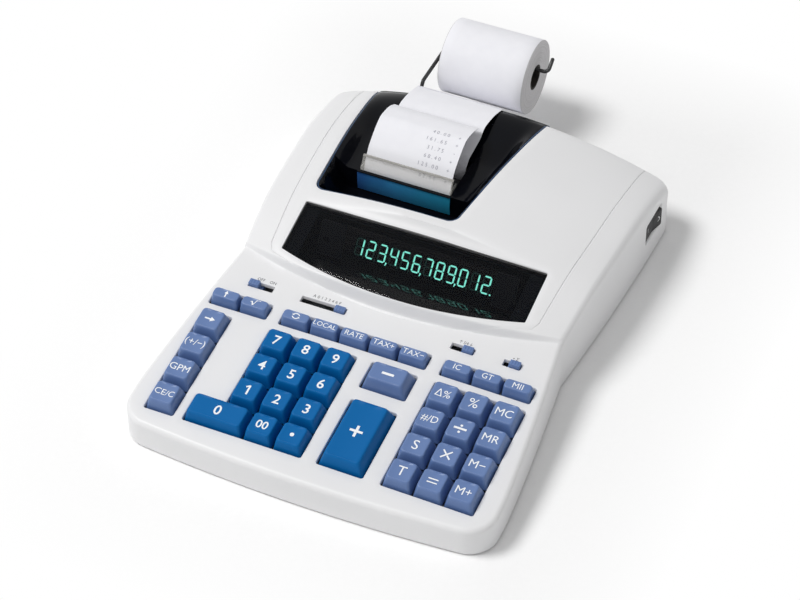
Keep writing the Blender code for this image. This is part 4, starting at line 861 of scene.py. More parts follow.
def opening_loops():
    """Openings of the deck in the keyboard plane: (corners, corner radius) counter-clockwise."""
    grow = OPENING_GAP
    side, end = CAP_WIDTH / 2 + grow, CAP_DEPTH / 2 + grow
    front, back = FRONT_ROW - end, FRONT_ROW + 3 * PITCH_Y + end

    def box(left, right, low, high):
        return [(left, low), (right, low), (right, high), (left, high)]

    number, half = NUMBER_COLUMN, OPERATOR_WIDTH / 2 + grow
    zero_left = number - PITCH_X / 2 - (CAP_WIDTH + PITCH_X) / 2 - grow
    right = number + 2 * PITCH_X + side
    left = number - side
    zero_back = FRONT_ROW + end
    plus_y = FRONT_ROW + PLUS_EXTRA_ROWS / 2 * PITCH_Y
    tall = (CAP_DEPTH + PLUS_EXTRA_ROWS * PITCH_Y) / 2 + grow
    bar_half = BAR_DEPTH / 2 + grow
    rows = [[(zero_left, front), (right, front), (right, back), (left, back),
             (left, zero_back), (zero_left, zero_back)],
            box(LEFT_COLUMN - side, LEFT_COLUMN + side, front, back),
            box(OPERATOR_X - half, OPERATOR_X + half, back - 2 * end, back),
            box(OPERATOR_X - half, OPERATOR_X + half, plus_y - tall, plus_y + tall),
            box(RIGHT_COLUMN - side, RIGHT_COLUMN + 2 * PITCH_X + side, front, back)]
    for first, count in ((LEFT_COLUMN, 2), (MIDDLE_GROUP, 5), (RIGHT_GROUP, 3)):
        rows.append(box(first - side, first + (count - 1) * PITCH_X + side,
                        FUNCTION_ROW - bar_half, FUNCTION_ROW + bar_half))
    keys = [(row, OPENING_CORNER) for row in rows]
    slots = [(box(x, x + length, SWITCH_ROW - SLOT_HALF_WIDTH, SWITCH_ROW + SLOT_HALF_WIDTH),
              SLOT_CORNER) for x, length in zip(SLOT_X, SLOT_LENGTH)]
    return keys, slots


def deck_plan(loop):
    """Keyboard-plane loop as a plan loop at the height of the deck."""
    sine, cosine = math.sin(PLANE_ANGLE), math.cos(PLANE_ANGLE)
    return np.stack((loop[:, 0], loop[:, 1] * cosine + STAND_OUT * sine), -1)


def window_loop(grow):
    """Window in plan: bowed front, straight sides and back; positive grow is outwards."""
    x = np.linspace(-WINDOW_HALF, WINDOW_HALF, 41)
    front = np.stack((x, WINDOW_FRONT - WINDOW_BOW * (1 - (x / WINDOW_HALF) ** 2)), -1)
    corners = np.concatenate((front, [(WINDOW_HALF, WINDOW_BACK), (-WINDOW_HALF, WINDOW_BACK)]))
    radii = np.zeros(len(corners))
    radii[[0, 40, 41, 42]] = 0.0012
    return rounded_loop(corners, radii, grow, 4)


def cover_side(share):
    """Left and right edge of the printer cover at a share of its length."""
    return tuple(front + (rear - front) * share for front, rear in (COVER_LEFT, COVER_RIGHT))


def cover_loop(grow, beyond):
    """Printer cover in plan, with rounded front corners, reaching beyond the rear wall."""
    length = CASE_LENGTH - COVER_FRONT
    left, right = cover_side((length + beyond) / length)
    corners = [(COVER_LEFT[0], COVER_FRONT), (COVER_RIGHT[0], COVER_FRONT),
               (right, CASE_LENGTH + beyond), (left, CASE_LENGTH + beyond)]
    return rounded_loop(corners, (COVER_CORNER, COVER_CORNER, 0.0, 0.0), grow, 10)


def seam_line():
    """Panel groove: up both sides of the rear deck and along the foot of the lip."""
    t = np.linspace(0.0, 1.0, 40)
    y = WAIST_STATION + 0.0050 + (CASE_LENGTH - 0.0055 - WAIST_STATION) * t
    x = 0.0872 + 0.0088 * np.sin(t * math.pi / 2)
    right = np.stack((x, y), -1)
    across = np.linspace(-0.0845, 0.0845, 61)
    front = np.stack((across, WINDOW_FRONT - 0.0046
                      - WINDOW_BOW * (1 - (across / WINDOW_HALF) ** 2)), -1)
    left = right[::-1] * (-1, 1)
    return np.concatenate((left, front, right))


def case_shell():
    """Upper shell: case_top over the plan, rounded by a quarter circle at every edge."""
    outer = case_loop()
    keys, slots = opening_loops()
    holes, loops, key_holes, slot_holes = [], [], [], []
    for kind, rows, radius in (("key", keys, KEY_EDGE), ("slot", slots, SLOT_EDGE)):
        for corners, corner in rows:
            base = dense(deck_plan(rounded_loop(corners, [corner] * len(corners))), 0.004)
            holes.append(base)
            (key_holes if kind == "key" else slot_holes).append(base)
            for share in (0.13, 0.5, 1.0):
                grown = rounded_loop(corners, [corner] * len(corners), radius * share)
                loops.append(dense(deck_plan(grown), 0.004))
    window = window_loop(0.0)
    cover = dense(cover_loop(0.0, 0.02), 0.004)
    for share in (0.3, 1.0):
        loops.append(window_loop(WINDOW_EDGE * share))
    for share in (0.3, 1.0):
        loops.append(dense(cover_loop(COVER_EDGE * share, 0.02), 0.004))
    loops += [case_loop(0.0, share) for share in (0.05, 0.18, 0.38, 0.66, 1.0)]
    wall = case_loop(CASE_WALL)
    loops.append(wall)
    lines = []
    for k in range(9):
        s = WAIST_STATION + LIP_RUN * k / 8
        half = float(half_width(s)) - 0.0008
        x = np.linspace(-half, half, 90)
        lines.append(np.stack((x, s - bow(s) * (1 - (x / half_width(s)) ** 2)), -1))
    seam = seam_line()
    ahead = heading(seam)
    normal = np.stack((-ahead[:, 1], ahead[:, 0]), -1)
    groove = panel_size("groove_half_width")
    lines += [seam + normal * offset for offset in (-groove, 0.0, groove)]
    points, triangles = fill_plan(outer, holes + [window, cover], loops, lines, 0.0042)
    base = case_top(points[:, 0], points[:, 1])
    top = base - corner_cut(distance_to(points, [outer]),
                            edge_radius(station_at(points[:, 0], points[:, 1])))
    top -= corner_cut(distance_to(points, key_holes), KEY_EDGE)
    top -= corner_cut(distance_to(points, slot_holes), SLOT_EDGE)
    top -= corner_cut(distance_to(points, [window]), WINDOW_EDGE)
    top -= corner_cut(distance_to(points, [cover]), COVER_EDGE)
    near = distance_to(points, [seam], False)
    fade = np.where(points[:, 1] < WAIST_STATION + 0.004, 0.55, 1.0)
    top -= panel_size("groove_depth") * fade * np.clip(1 - near / groove, 0.0, 1.0)
    rim = ~inside(points[triangles].mean(1), wall)
    under = np.minimum(base - CASE_WALL, top - 0.0004)
    shell = shell_of(points, triangles, top, under, rim, np.full(len(points), CASE_FOOT))
    y = np.array((CASE_LENGTH - CASE_WALL, CASE_LENGTH - 0.00002))
    left, right = cover_side(1.0)
    ring = np.array([(y[0], CASE_FOOT), (y[1], CASE_FOOT), (y[1], 0.0384), (y[0], 0.0384)])
    rows = np.array([[(x, *p) for p in ring] for x in (left - 0.001, right + 0.001)])
    return join([shell, loft(rows[::-1])])


def cut_with(item, shape):
    """Take a closed shape out of a piece and keep the result as its mesh."""
    tool = make_piece("cut", shape, [])
    step = item.modifiers.new("cut", "BOOLEAN")
    step.operation = "DIFFERENCE"
    step.solver = "EXACT"
    step.object = tool
    graph = bpy.context.evaluated_depsgraph_get()
    mesh = bpy.data.meshes.new_from_object(item.evaluated_get(graph))
    item.modifiers.clear()
    old = item.data
    item.data = mesh
    mesh.name = old.name
    bpy.data.meshes.remove(old)
    bpy.data.objects.remove(tool, do_unlink=True)


def rocker_cut():
    """Opening of the rocker with a scooped edge: rounded rings that shrink inwards."""
    depth = np.array((0.004, 0.0004, -0.0003, -0.0008, -0.0012, -0.009))
    grow = np.array((0.0038, 0.0020, 0.0011, 0.0005, 0.0003, 0.0003))
    ring = ring_plan(0.0115 + grow, 0.0073 + grow, 0.0012 + grow)
    wall = float(half_width(ROCKER_Y))
    x = np.broadcast_to((wall + depth)[:, None], ring.shape[:2])
    rows = np.stack((x, ROCKER_Y + ring[..., 0], ROCKER_Z + ring[..., 1]), -1)
    return loft(to_world(rows)[::-1])


# Keys

def cap_shape(width, depth, top_width, top_depth, rise, dish, shift=0.0002):
    """Key cap: rounded rectangles from the skirt up, the top sinking to a cylindrical dish.

    The side leans in as half = top + (base - top)(1 - t)^0.85, then a small quarter-round.
    """
    t = np.array((0.0, 0.35, 0.7, 0.93, 0.975, 0.993, 1.0))
    ease_in = (1 - t) ** 0.85
    cut = np.array((0.0, 0.0, 0.0, 0.0, 0.00015, 0.00045, 0.0009))
    half_x = top_width / 2 + (width - top_width) / 2 * ease_in - cut
    half_y = top_depth / 2 + (depth - top_depth) / 2 * ease_in - cut
    shrink = np.array((0.86, 0.6, 0.3, 0.08))
    half_x = np.concatenate((half_x, half_x[-1] * shrink))
    half_y = np.concatenate((half_y, half_y[-1] * shrink))
    t = np.concatenate((t, np.ones(4)))
    radius = np.minimum(0.0012 + 0.0010 * t, np.minimum(half_x, half_y) * 0.98)
    ring = ring_plan(half_x, half_y, radius, 5, 5)
    across, along = ring[..., 0], ring[..., 1]
    out = -CAP_HEIGHT + (CAP_HEIGHT + rise) * t
    out = np.broadcast_to(out[:, None], across.shape).copy()
    reach = np.clip(np.abs(across) / (top_width / 2 - 0.0008), 0.0, 1.0)
    out[6:] -= (dish * (1 - reach ** 2))[6:]
    along = along + shift * t[:, None]
    shape = loft(np.stack((across, along, out), -1))
    post = ring_plan([0.0025] * 2, [0.0025] * 2, [0.0004] * 2, 3, 1)
    return join([shape, raised(post, (-STEM_DROP, -CAP_HEIGHT + 0.0002))])


def round_arrow(size):
    """Two curved arrows chasing each other, drawn as arcs with heads."""
    parts, k = [], np.arange(10)
    band = np.concatenate((np.stack((k, k + 11, k + 12), -1), np.stack((k, k + 12, k + 1), -1)))
    for turn in (0.0, math.pi):
        angle = np.linspace(turn + 0.35, turn + 2.55, 11)
        arc = np.stack((np.cos(angle), np.sin(angle) * 0.85), -1) * size
        parts.append((np.concatenate((arc * 0.82, arc * 1.14)), band))
        end = angle[-1] + 0.05
        tip = np.array((math.cos(end + 0.5), math.sin(end + 0.5) * 0.85)) * size
        radial = np.array((math.cos(end), math.sin(end) * 0.85)) * size
        parts.append((np.stack((radial * 0.5, radial * 1.5, tip)), np.array([[0, 1, 2]])))
    return merge_flat(parts)


def arrow(size, turn):
    """Plain arrow: a bar and a triangle, turned by a number of quarter turns."""
    points = np.array(((-1.0, -0.16), (0.1, -0.16), (0.1, 0.16), (-1.0, 0.16),
                       (0.1, -0.55), (1.0, 0.0), (0.1, 0.55))) * size
    for _ in range(turn):
        points = points[:, ::-1] * (-1, 1)
    return points, np.array([(0, 1, 2), (0, 2, 3), (4, 5, 6)])


def strokes(parts, size):
    """Straight strokes as quads: each part is (start, end, width) in shares of the size."""
    return merge_flat([(bar(np.array(first) * size, np.array(last) * size, width * size), QUAD)
                       for first, last, width in parts])


def dot(radius, count=20, centre=(0.0, 0.0)):
    """Round spot as a fan."""
    points = np.concatenate((circle(count) * radius + centre, [centre]))
    k = np.arange(count)
    return points, np.stack((k, (k + 1) % count, np.full(count, count)), -1)


def legend_shape(text):
    """Flat outline of one key's legend, from its name below."""
    size = {1: 0.0092, 2: 0.0076, 3: 0.0066}.get(len(text), 0.0058)
    if text == "arrow":
        return arrow(0.0033, 0)
    if text == "feed":
        return arrow(0.0024, 1)
    if text == "exchange":
        return round_arrow(0.0022)
    if text == "minus":
        return strokes([((-0.5, 0.0), (0.5, 0.0), 0.22)], 0.0075)
    if text == "plus":
        return strokes([((-0.5, 0.0), (0.5, 0.0), 0.2), ((0.0, -0.5), (0.0, -0.1), 0.2),
                        ((0.0, 0.1), (0.0, 0.5), 0.2)], 0.0080)
    if text == "equals":
        return strokes([((-0.5, 0.2), (0.5, 0.2), 0.13), ((-0.5, -0.2), (0.5, -0.2), 0.13)],
                       0.0062)
    if text == "times":
        return strokes([((-0.4, -0.4), (0.4, 0.4), 0.14), ((-0.4, 0.4), (-0.06, 0.06), 0.14),
                        ((0.06, -0.06), (0.4, -0.4), 0.14)], 0.0070)
    if text == "divide":
        first = strokes([((-0.5, 0.0), (0.5, 0.0), 0.18)], 0.0078)
        return merge_flat([first, dot(0.0008, 20, (0.0, 0.0023)),
                           dot(0.0008, 20, (0.0, -0.0023))])
    if text == "point":
        return dot(0.0013)
    if text == "root":
        return strokes([((-0.75, 0.05), (-0.5, 0.2), 0.13), ((-0.5, 0.2), (-0.2, -0.5), 0.2),
                        ((-0.2, -0.5), (0.2, 0.62), 0.13), ((0.14, 0.6), (0.85, 0.6), 0.13)],
                       0.0038)
    if text == "sign":
        return letters("(+/−)", 0.0064)
    if text == "delta":
        return letters("Δ%", 0.0072)
    if text == "1":
        return strokes([((0.08, -0.5), (0.08, 0.5), 0.17), ((0.04, 0.42), (-0.22, 0.24), 0.15)],
                       0.0068)
    return letters(text, size, 0.012 if text.isdigit() else 0.0)


KEY_COLUMNS = {"left": LEFT_COLUMN, "number": NUMBER_COLUMN, "right": RIGHT_COLUMN}
BLUE_KEYS = [("key_00", "number", 0, 1, "00"), ("key_point", "number", 0, 2, "point"),
             *(("key_%d" % n, "number", 1 + (n - 1) // 3, (n - 1) % 3, str(n))
               for n in range(1, 10))]
SLATE_KEYS = [("key_clear", "left", 0, 0, "CE/C"), ("key_margin", "left", 1, 0, "GPM"),
              ("key_sign", "left", 2, 0, "sign"), ("key_backspace", "left", 3, 0, "arrow"),
              ("key_total", "right", 0, 0, "T"), ("key_equals", "right", 0, 1, "equals"),
              ("key_memory_plus", "right", 0, 2, "M+"), ("key_subtotal", "right", 1, 0, "S"),
              ("key_multiply", "right", 1, 1, "times"),
              ("key_memory_minus", "right", 1, 2, "M−"),
              ("key_count", "right", 2, 0, "#/D"), ("key_divide", "right", 2, 1, "divide"),
              ("key_memory_recall", "right", 2, 2, "MR"),
              ("key_delta", "right", 3, 0, "delta"), ("key_percent", "right", 3, 1, "%"),
              ("key_memory_clear", "right", 3, 2, "MC")]
FUNCTION_KEYS = [("key_feed", LEFT_COLUMN, 0, "feed"), ("key_root", LEFT_COLUMN, 1, "root"),
                 ("key_exchange", MIDDLE_GROUP, 0, "exchange"),
                 ("key_local", MIDDLE_GROUP, 1, "LOCAL"), ("key_rate", MIDDLE_GROUP, 2, "RATE"),
                 ("key_tax_plus", MIDDLE_GROUP, 3, "TAX+"),
                 ("key_tax_minus", MIDDLE_GROUP, 4, "TAX−"),
                 ("key_item_count", RIGHT_GROUP, 0, "IC"),
                 ("key_grand_total", RIGHT_GROUP, 1, "GT"),
                 ("key_memory_two", RIGHT_GROUP, 2, "MII")]
# Long words of the low rows are drawn narrower, as shares of their width
NARROW_SHARES = {"LOCAL": 0.80, "RATE": 0.88, "TAX+": 0.92, "TAX−": 0.92, "MII": 0.85,
                 "IC": 0.70, "GT": 0.70}


def make_key(name, x, y, legend, finish, kind="plain"):
    """One key in the keyboard plane, with its legend laid over the dished top."""
    width, depth, top_width, top_depth = CAP_WIDTH, CAP_DEPTH, CAP_TOP_WIDTH, CAP_TOP_DEPTH
    rise, dish = 0.0, panel_size("key_dish")
    if kind == "zero":
        width, top_width = width + PITCH_X, top_width + PITCH_X
    elif kind in ("minus", "plus"):
        width, top_width, rise = OPERATOR_WIDTH, OPERATOR_WIDTH - 0.0068, OPERATOR_RISE
        top_depth -= OPERATOR_RISE
        if kind == "plus":
            depth += PLUS_EXTRA_ROWS * PITCH_Y
            top_depth += PLUS_EXTRA_ROWS * PITCH_Y
    elif kind == "bar":
        depth, top_width, top_depth, rise = BAR_DEPTH, 0.0162, 0.0062, -0.0012
        dish = panel_size("bar_dish")
    shape, groups = cap_shape(width, depth, top_width, top_depth, rise, dish)
    flat, triangles = legend_shape(legend)
    if kind == "bar":
        flat = flat * NARROW_SHARES.get(legend, 1.0)
    reach = np.clip(np.abs(flat[:, 0]) / (top_width / 2 - 0.0008), 0.0, 1.0)
    lift = rise - dish * (1 - reach ** 2) + 0.00005
    mark = np.column_stack((flat[:, 0], flat[:, 1] + 0.0002, lift))
    points, groups = join([(shape, groups), (mark, [triangles])])
    item = make_piece(name + "_cap", (on_plane(points + (x, y, 0.0)), groups),
                      [FINISH[finish], FINISH["legend"]], [0] * (len(groups) - 1) + [1], 38)
    return seat(item, name, name)


def make_keys():
    """All forty caps: the blue number keys, the slate keys and the three low rows."""
    for rows, finish in ((BLUE_KEYS, "blue"), (SLATE_KEYS, "slate")):
        for name, block, row, column, legend in rows:
            make_key(name, KEY_COLUMNS[block] + column * PITCH_X, FRONT_ROW + row * PITCH_Y,
                     legend, finish)
    for name, first, column, legend in FUNCTION_KEYS:
        make_key(name, first + column * PITCH_X, FUNCTION_ROW, legend, "slate", "bar")
    make_key("key_0", KEY_COLUMNS["number"] - PITCH_X / 2, FRONT_ROW, "0", "blue", "zero")
    make_key("key_minus", OPERATOR_X, FRONT_ROW + 3 * PITCH_Y, "minus", "slate", "minus")
    make_key("key_plus", OPERATOR_X, FRONT_ROW + PLUS_EXTRA_ROWS / 2 * PITCH_Y, "plus", "blue",
             "plus")


# Switches

SWITCHES = (("print_mode_switch", "OFF    ON"), ("decimal_switch", "A 0 1 2 3 4 6 F"),
            ("rounding_switch", "\u2191 5/4 \u2193"), ("total_switch", "\u2022 \u03a3"))


def make_switches():
    """Slide knobs: a shouldered block with three ridges across its top."""
    for (name, _), x, length, share in zip(SWITCHES, SLOT_X, SLOT_LENGTH, SLOT_SHARE):
        centre = x + SLOT_GAP + KNOB_LENGTH / 2 + share * (length - KNOB_LENGTH - 2 * SLOT_GAP)
        top = -STAND_OUT + 0.0021
        shoulder = -(STAND_OUT + CASE_WALL + DECK_CROWN) - 0.0003
        half_x = np.array((0.0048, 0.0048, 0.0033, 0.0033, 0.00315, 0.0029))
        half_y = np.array((0.0035, 0.0035, 0.0020, 0.0020, 0.00185, 0.0016))
        out = np.array((-0.0122, shoulder, shoulder, top - 0.0006, top - 0.00035, top - 0.0003))
        ring = ring_plan(half_x, half_y, np.full(6, 0.0003), 3, 1)
        parts = [raised(ring, out)]
        for offset in (-0.0018, 0.0, 0.0018):
            rib = ring_plan([0.0004, 0.0003, 0.0001], [0.0017, 0.0017, 0.0015],
                            [0.0001] * 3, 2, 1)
            parts.append(raised(rib + (offset, 0.0), (top - 0.0005, top - 0.0001, top)))
        points, groups = join(parts)
        item = make_piece(name + "_knob", (on_plane(points + (centre, SWITCH_ROW, 0.0)),
                                           groups), [FINISH["slate"]])
        seat(item, name, name)


def switch_labels():
    """Small grey words printed on the deck behind each slot, lying on its surface."""
    rows = []
    places = (-0.0782, -0.0383, 0.0517, 0.0833)
    widths = (0.0123, 0.0226, 0.0080, 0.0050)
    for (_, text), x, width in zip(SWITCHES, places, widths):
        points, triangles = letters(text, 0.0030)
        scale = width / (points[:, 0].max() - points[:, 0].min())
        flat = deck_plan(points * (min(scale, 1.0), 1.0) + (x, 0.1263))
        rise = case_top(flat[:, 0], flat[:, 1]) + 0.00006
        rows.append((np.column_stack((flat, rise)), [triangles]))
    item = make_piece("switch_labels", join(rows), [FINISH["mark"]])
    item.data.transform(Matrix.Translation((0.0, -HALF_LENGTH, 0.0)))
    return seat(item, "case")


# Display

TUBE_Y = 0.1734
TUBE_Z = 0.037879
TUBE_LEAN = math.radians(60)
TUBE_HALF_THICKNESS = 0.00325
TUBE_OPENING_HALF = 0.0690
TUBE_OPENING_BACK = 0.1822
DIGIT_RAISE = 0.0005
FIRST_DIGIT_X = -0.0378
DIGIT_PITCH = 0.007545


def on_tube(points):
    """Points on the tube's face (across, up, out), leaning back at sixty degrees."""
    across, up, out = np.moveaxis(np.asarray(points, dtype=float), -1, 0)
    sine, cosine = math.sin(TUBE_LEAN), math.cos(TUBE_LEAN)
    return to_world(np.stack((across, TUBE_Y + up * cosine - out * sine,
                              TUBE_Z + up * sine + out * cosine), -1))


def face_height(points):
    """Height of the display face over plan points."""
    return hump(points[:, 0], station_at(points[:, 0], points[:, 1]))


def plate_on_face(outer, holes, drop, thickness, radius, spacing=0.0045):
    """Sheet that follows the display face, with a quarter-round along its edges."""
    loops = [rounded_loop(line, [0.0] * len(line), sign * radius * share)
             for line, sign in [(outer, -1)] + [(hole, 1) for hole in holes]
             for share in (0.3, 1.0)] if radius else []
    points, triangles = fill_plan(outer, holes, loops, [], spacing)
    top = face_height(points) - drop
    if radius:
        top = top - corner_cut(distance_to(points, [outer] + holes), radius)
    under = face_height(points) - drop - thickness
    return shell_of(points, triangles, top, under)


def display_opening(grow):
    """Opening of the inner frame: bowed front, straight sides and back."""
    half, back = TUBE_OPENING_HALF, TUBE_OPENING_BACK
    x = np.linspace(-half, half, 31)
    y = WINDOW_FRONT + 0.0030 - WINDOW_BOW * (1 - (x / WINDOW_HALF) ** 2)
    corners = np.concatenate((np.stack((x, y), -1), [(half, back), (-half, back)]))
    return rounded_loop(corners, [0.0] * len(corners), grow)


def segment_shapes(lit):
    """Seven-segment digits: mitred bars, leaning with the digit; lit ones or the rest."""
    shapes = {"0": "abcdef", "1": "bc", "2": "abged", "3": "abgcd", "4": "fgbc",
              "5": "afgcd", "6": "afgedc", "7": "abc", "8": "abcdefg", "9": "abcdfg"}
    half, tall = panel_size("digit_half_width"), panel_size("digit_height")
    w = panel_size("segment_width")
    low, high = DIGIT_RAISE - tall / 2, DIGIT_RAISE + tall / 2
    middle = (low + high) / 2
    lines = {"a": ((-half, high), (half, high)), "g": ((-half, middle), (half, middle)),
             "d": ((-half, low), (half, low)), "f": ((-half, middle), (-half, high)),
             "e": ((-half, low), (-half, middle)), "b": ((half, middle), (half, high)),
             "c": ((half, low), (half, middle))}
    text = bpy.context.scene.calculator_looks.digits
    parts = []
    for place in range(12):
        centre = FIRST_DIGIT_X + DIGIT_PITCH * place
        digit = text[place] if place < len(text) else " "
        for key, (first, last) in lines.items():
            if (key in shapes.get(digit, "")) != lit:
                continue
            first, last = np.array(first), np.array(last)
            along = (last - first) / np.linalg.norm(last - first)
            side = np.array((-along[1], along[0]))
            a, b = first + along * w * 0.12, last - along * w * 0.12
            shape = np.array((a, a + (along + side) * w / 2, b - (along - side) * w / 2, b,
                              b - (along + side) * w / 2, a + (along - side) * w / 2))
            shape[:, 0] += centre + shape[:, 1] * 0.06
            parts.append((shape, np.array([(0, 5, 4), (0, 4, 3), (0, 3, 2), (0, 2, 1)])))
        if (place in (2, 5, 8, 11)) == lit:
            parts.append(dot(0.00055, 10, (centre + half + 0.0012, low - 0.0001)))
            if place != 11:
                tail = bar((centre + half + 0.0013, low - 0.0002),
                           (centre + half + 0.0007, low - 0.0016), 0.0006)
                parts.append((tail, QUAD))
    flat, faces = merge_flat(parts)
    out = np.full(len(flat), TUBE_HALF_THICKNESS + (0.00008 if lit else 0.00004))
    return on_tube(np.column_stack((flat, out))), [faces]


def make_display():
    """Lens, the navy frame under it, the black tub and the upright tube with its digits."""
    shape = plate_on_face(window_loop(-0.0003), [], 0.0004, 0.0020, 0.0004)
    lens = make_piece("display_lens", (to_world(shape[0]), shape[1]), [FINISH["lens"]])
    seat(lens, "case", "display_window")
    shape = plate_on_face(window_loop(-0.0004), [display_opening(0.0)], 0.0040, 0.0012, 0.0003)
    frame_plate = make_piece("display_frame", (to_world(shape[0]), shape[1]),
                             [FINISH["bezel"]])
    seat(frame_plate, "case")
    plan = np.stack([display_opening(grow) for grow in (0.0018, 0.0018, 0.0, 0.0)])
    rim = (face_height(plan.reshape(-1, 2)) - 0.0046).reshape(plan.shape[:2])
    rim[0], rim[3] = 0.0266, 0.0280
    points, groups = raised(plan, rim)
    tub = make_piece("display_tub", (to_world(points), groups),
                     [FINISH["tube"], FINISH["tub"]], [0, 0, 1])
    seat(tub, "case")
    make_tube()


def make_tube():
    """Flat glass tube: a slab with a rounded face, end blocks, wires and segments."""
    out = np.array((-TUBE_HALF_THICKNESS, 0.0026, 0.0030, 0.00320, TUBE_HALF_THICKNESS))
    cut = np.array((0.0, 0.0, 0.0003, 0.0007, 0.0012))
    ring = ring_plan(0.0650 - cut, 0.0110 - cut, np.full(5, 0.0012), 4, 5)
    points, groups = raised(ring, out)
    tube = make_piece("display_tube", (on_tube(points), groups), [FINISH["tube"]])
    seat(tube, "case", "display_module")
    rows = []
    for left, right in ((-0.0645, -0.0478), (0.0506, 0.0645)):
        cut = np.array((0.0, 0.0, 0.0003))
        ring = ring_plan((right - left) / 2 - cut, 0.0106 - cut, np.full(3, 0.0010), 4, 2)
        rows.append(raised(ring + ((left + right) / 2, 0.0), (0.0030, 0.0037, 0.0040)))
    for up in np.linspace(-0.0070, 0.0085, 5):
        ring = np.stack([np.array(((x, up - 0.00006, 0.0033), (x, up + 0.00006, 0.0033),
                                   (x, up + 0.00006, 0.0034), (x, up - 0.00006, 0.0034)))
                         for x in (-0.0480, 0.0490)])
        rows.append(loft(ring))
    points, groups = join(rows)
    blocks = make_piece("tube_ends_and_wires", (on_tube(points), groups), [FINISH["block"]])
    seat(blocks, "case")
    for name, lit in (("lit_digits", True), ("unlit_segments_painted_glow", False)):
        item = make_piece(name, segment_shapes(lit), [FINISH["lit" if lit else "unlit"]],
                          smooth=False)
        seat(item, "case")


# Printer

def tray_height(points):
    """Cover surface: rim minus well depth times smooth banks from the sides and ends."""
    x, y = points.T
    share = np.clip((y - COVER_FRONT) / (CASE_LENGTH - COVER_FRONT), 0.0, 1.0)
    left, right = cover_side(share)
    rim = case_top(x, np.minimum(y, CASE_LENGTH - COVER_REAR_ROUND)) - 0.0003
    step = np.clip((y - BOX_FACE_Y) / 0.0008, 0.0, 1.0)
    floor = TRAY_FLOOR + (BOX_TOP - TRAY_FLOOR) * step
    side = ease(np.minimum(x - left, right - x) / 0.0110)
    front = ease((y - COVER_FRONT) / 0.010758)
    rear = ease((CASE_LENGTH - COVER_REAR_ROUND - y) / 0.04556)
    z = rim - (rim - floor) * side * front * rear
    return z - corner_cut(CASE_LENGTH - y, COVER_REAR_ROUND)


def make_cover():
    """Smoked tray over the printer, cut open where the paper passes."""
    gap = COVER_GAP
    outer = dense(cover_loop(-gap, -0.00005), 0.0035)
    half = BAR_HALF_WIDTH + gap
    left, right = PRINT_CENTRE - half, PRINT_CENTRE + half
    hole = dense(np.array([(left, EXIT_FRONT), (right, EXIT_FRONT), (right, EXIT_BACK),
                           (left, EXIT_BACK)]), 0.004)
    lines = []
    for y in (BOX_FACE_Y, BOX_FACE_Y + 0.0008):
        lines.append(dense(np.array([(-0.0812, y), (0.0185, y)]), 0.0025, False))
    for inset in (COVER_REAR_ROUND, 0.0022, 0.0014, 0.0007, 0.0003):
        y = CASE_LENGTH - inset
        lines.append(dense(np.array([(-0.0862, y), (0.0298, y)]), 0.0030, False))
    loops = [dense(cover_loop(-gap - share, -0.00005 - share), 0.0035)
             for share in (0.00025, 0.0009)]
    points, triangles = fill_plan(outer, [hole], loops, lines, 0.0022)
    top = tray_height(points) - corner_cut(distance_to(points, [outer]), 0.0009)
    rear = points[:, 1] > CASE_LENGTH - 0.0021
    foot = np.where(np.abs(points[:, 0] - WIRE_X) < 0.0022, 0.0404, 0.0388)
    rim = rear[triangles].all(1)
    shape, groups = shell_of(points, triangles, top, top - COVER_THICKNESS, rim, foot)
    # Faces within 0.95 mm of the outer edge take the lighter blue finish: a painted edge
    # highlight.
    edge = distance_to(points[triangles].mean(1), [outer]) < 0.00095
    groups = [groups[0][edge], groups[0][~edge]] + groups[1:]
    cover = make_piece("smoked_cover", (to_world(shape), groups),
                       [FINISH["cover"], FINISH["rim"]], [1] + [0] * (len(groups) - 1), 40)
    seat(cover, "case", "printer_cover")


def make_box_face():
    """Blue front of the paper box: a thin panel that bulges by a parabola over its height."""
    left, right = PRINT_CENTRE - BOX_HALF_WIDTH, PRINT_CENTRE + BOX_HALF_WIDTH
    x = np.linspace(left, right, 33)
    z = np.linspace(0.0326, 0.0472, 15)
    grid_x, grid_z = np.meshgrid(x, z)
    bulge = 1 - (2 * (grid_z - z[0]) / (z[-1] - z[0]) - 1) ** 2
    y = BOX_FACE_Y + 0.0001 - 0.0006 * bulge
    front = np.stack((grid_x, y, grid_z), -1)
    back = np.stack((grid_x, np.full_like(y, BOX_FACE_Y + 0.0014), grid_z), -1)
    rings = np.concatenate((front, back[:, ::-1]), 1)
    points, groups = loft(rings)
    face = make_piece("paper_box_face", (to_world(points), groups), [FINISH["face"]])
    seat(face, "case")
    ring = np.array([(BOX_FACE_Y - 0.0006, 0.0470), (BOX_FACE_Y + 0.0016, 0.0470),
                     (BOX_FACE_Y + 0.0016, 0.0475), (BOX_FACE_Y - 0.0004, 0.0475)])
    rows = np.array([[(x, *p) for p in ring] for x in (left, right)])
    points, groups = loft(rows)
    line = make_piece("paper_box_lip", (to_world(points), groups), [FINISH["cover"]])
    seat(line, "case")


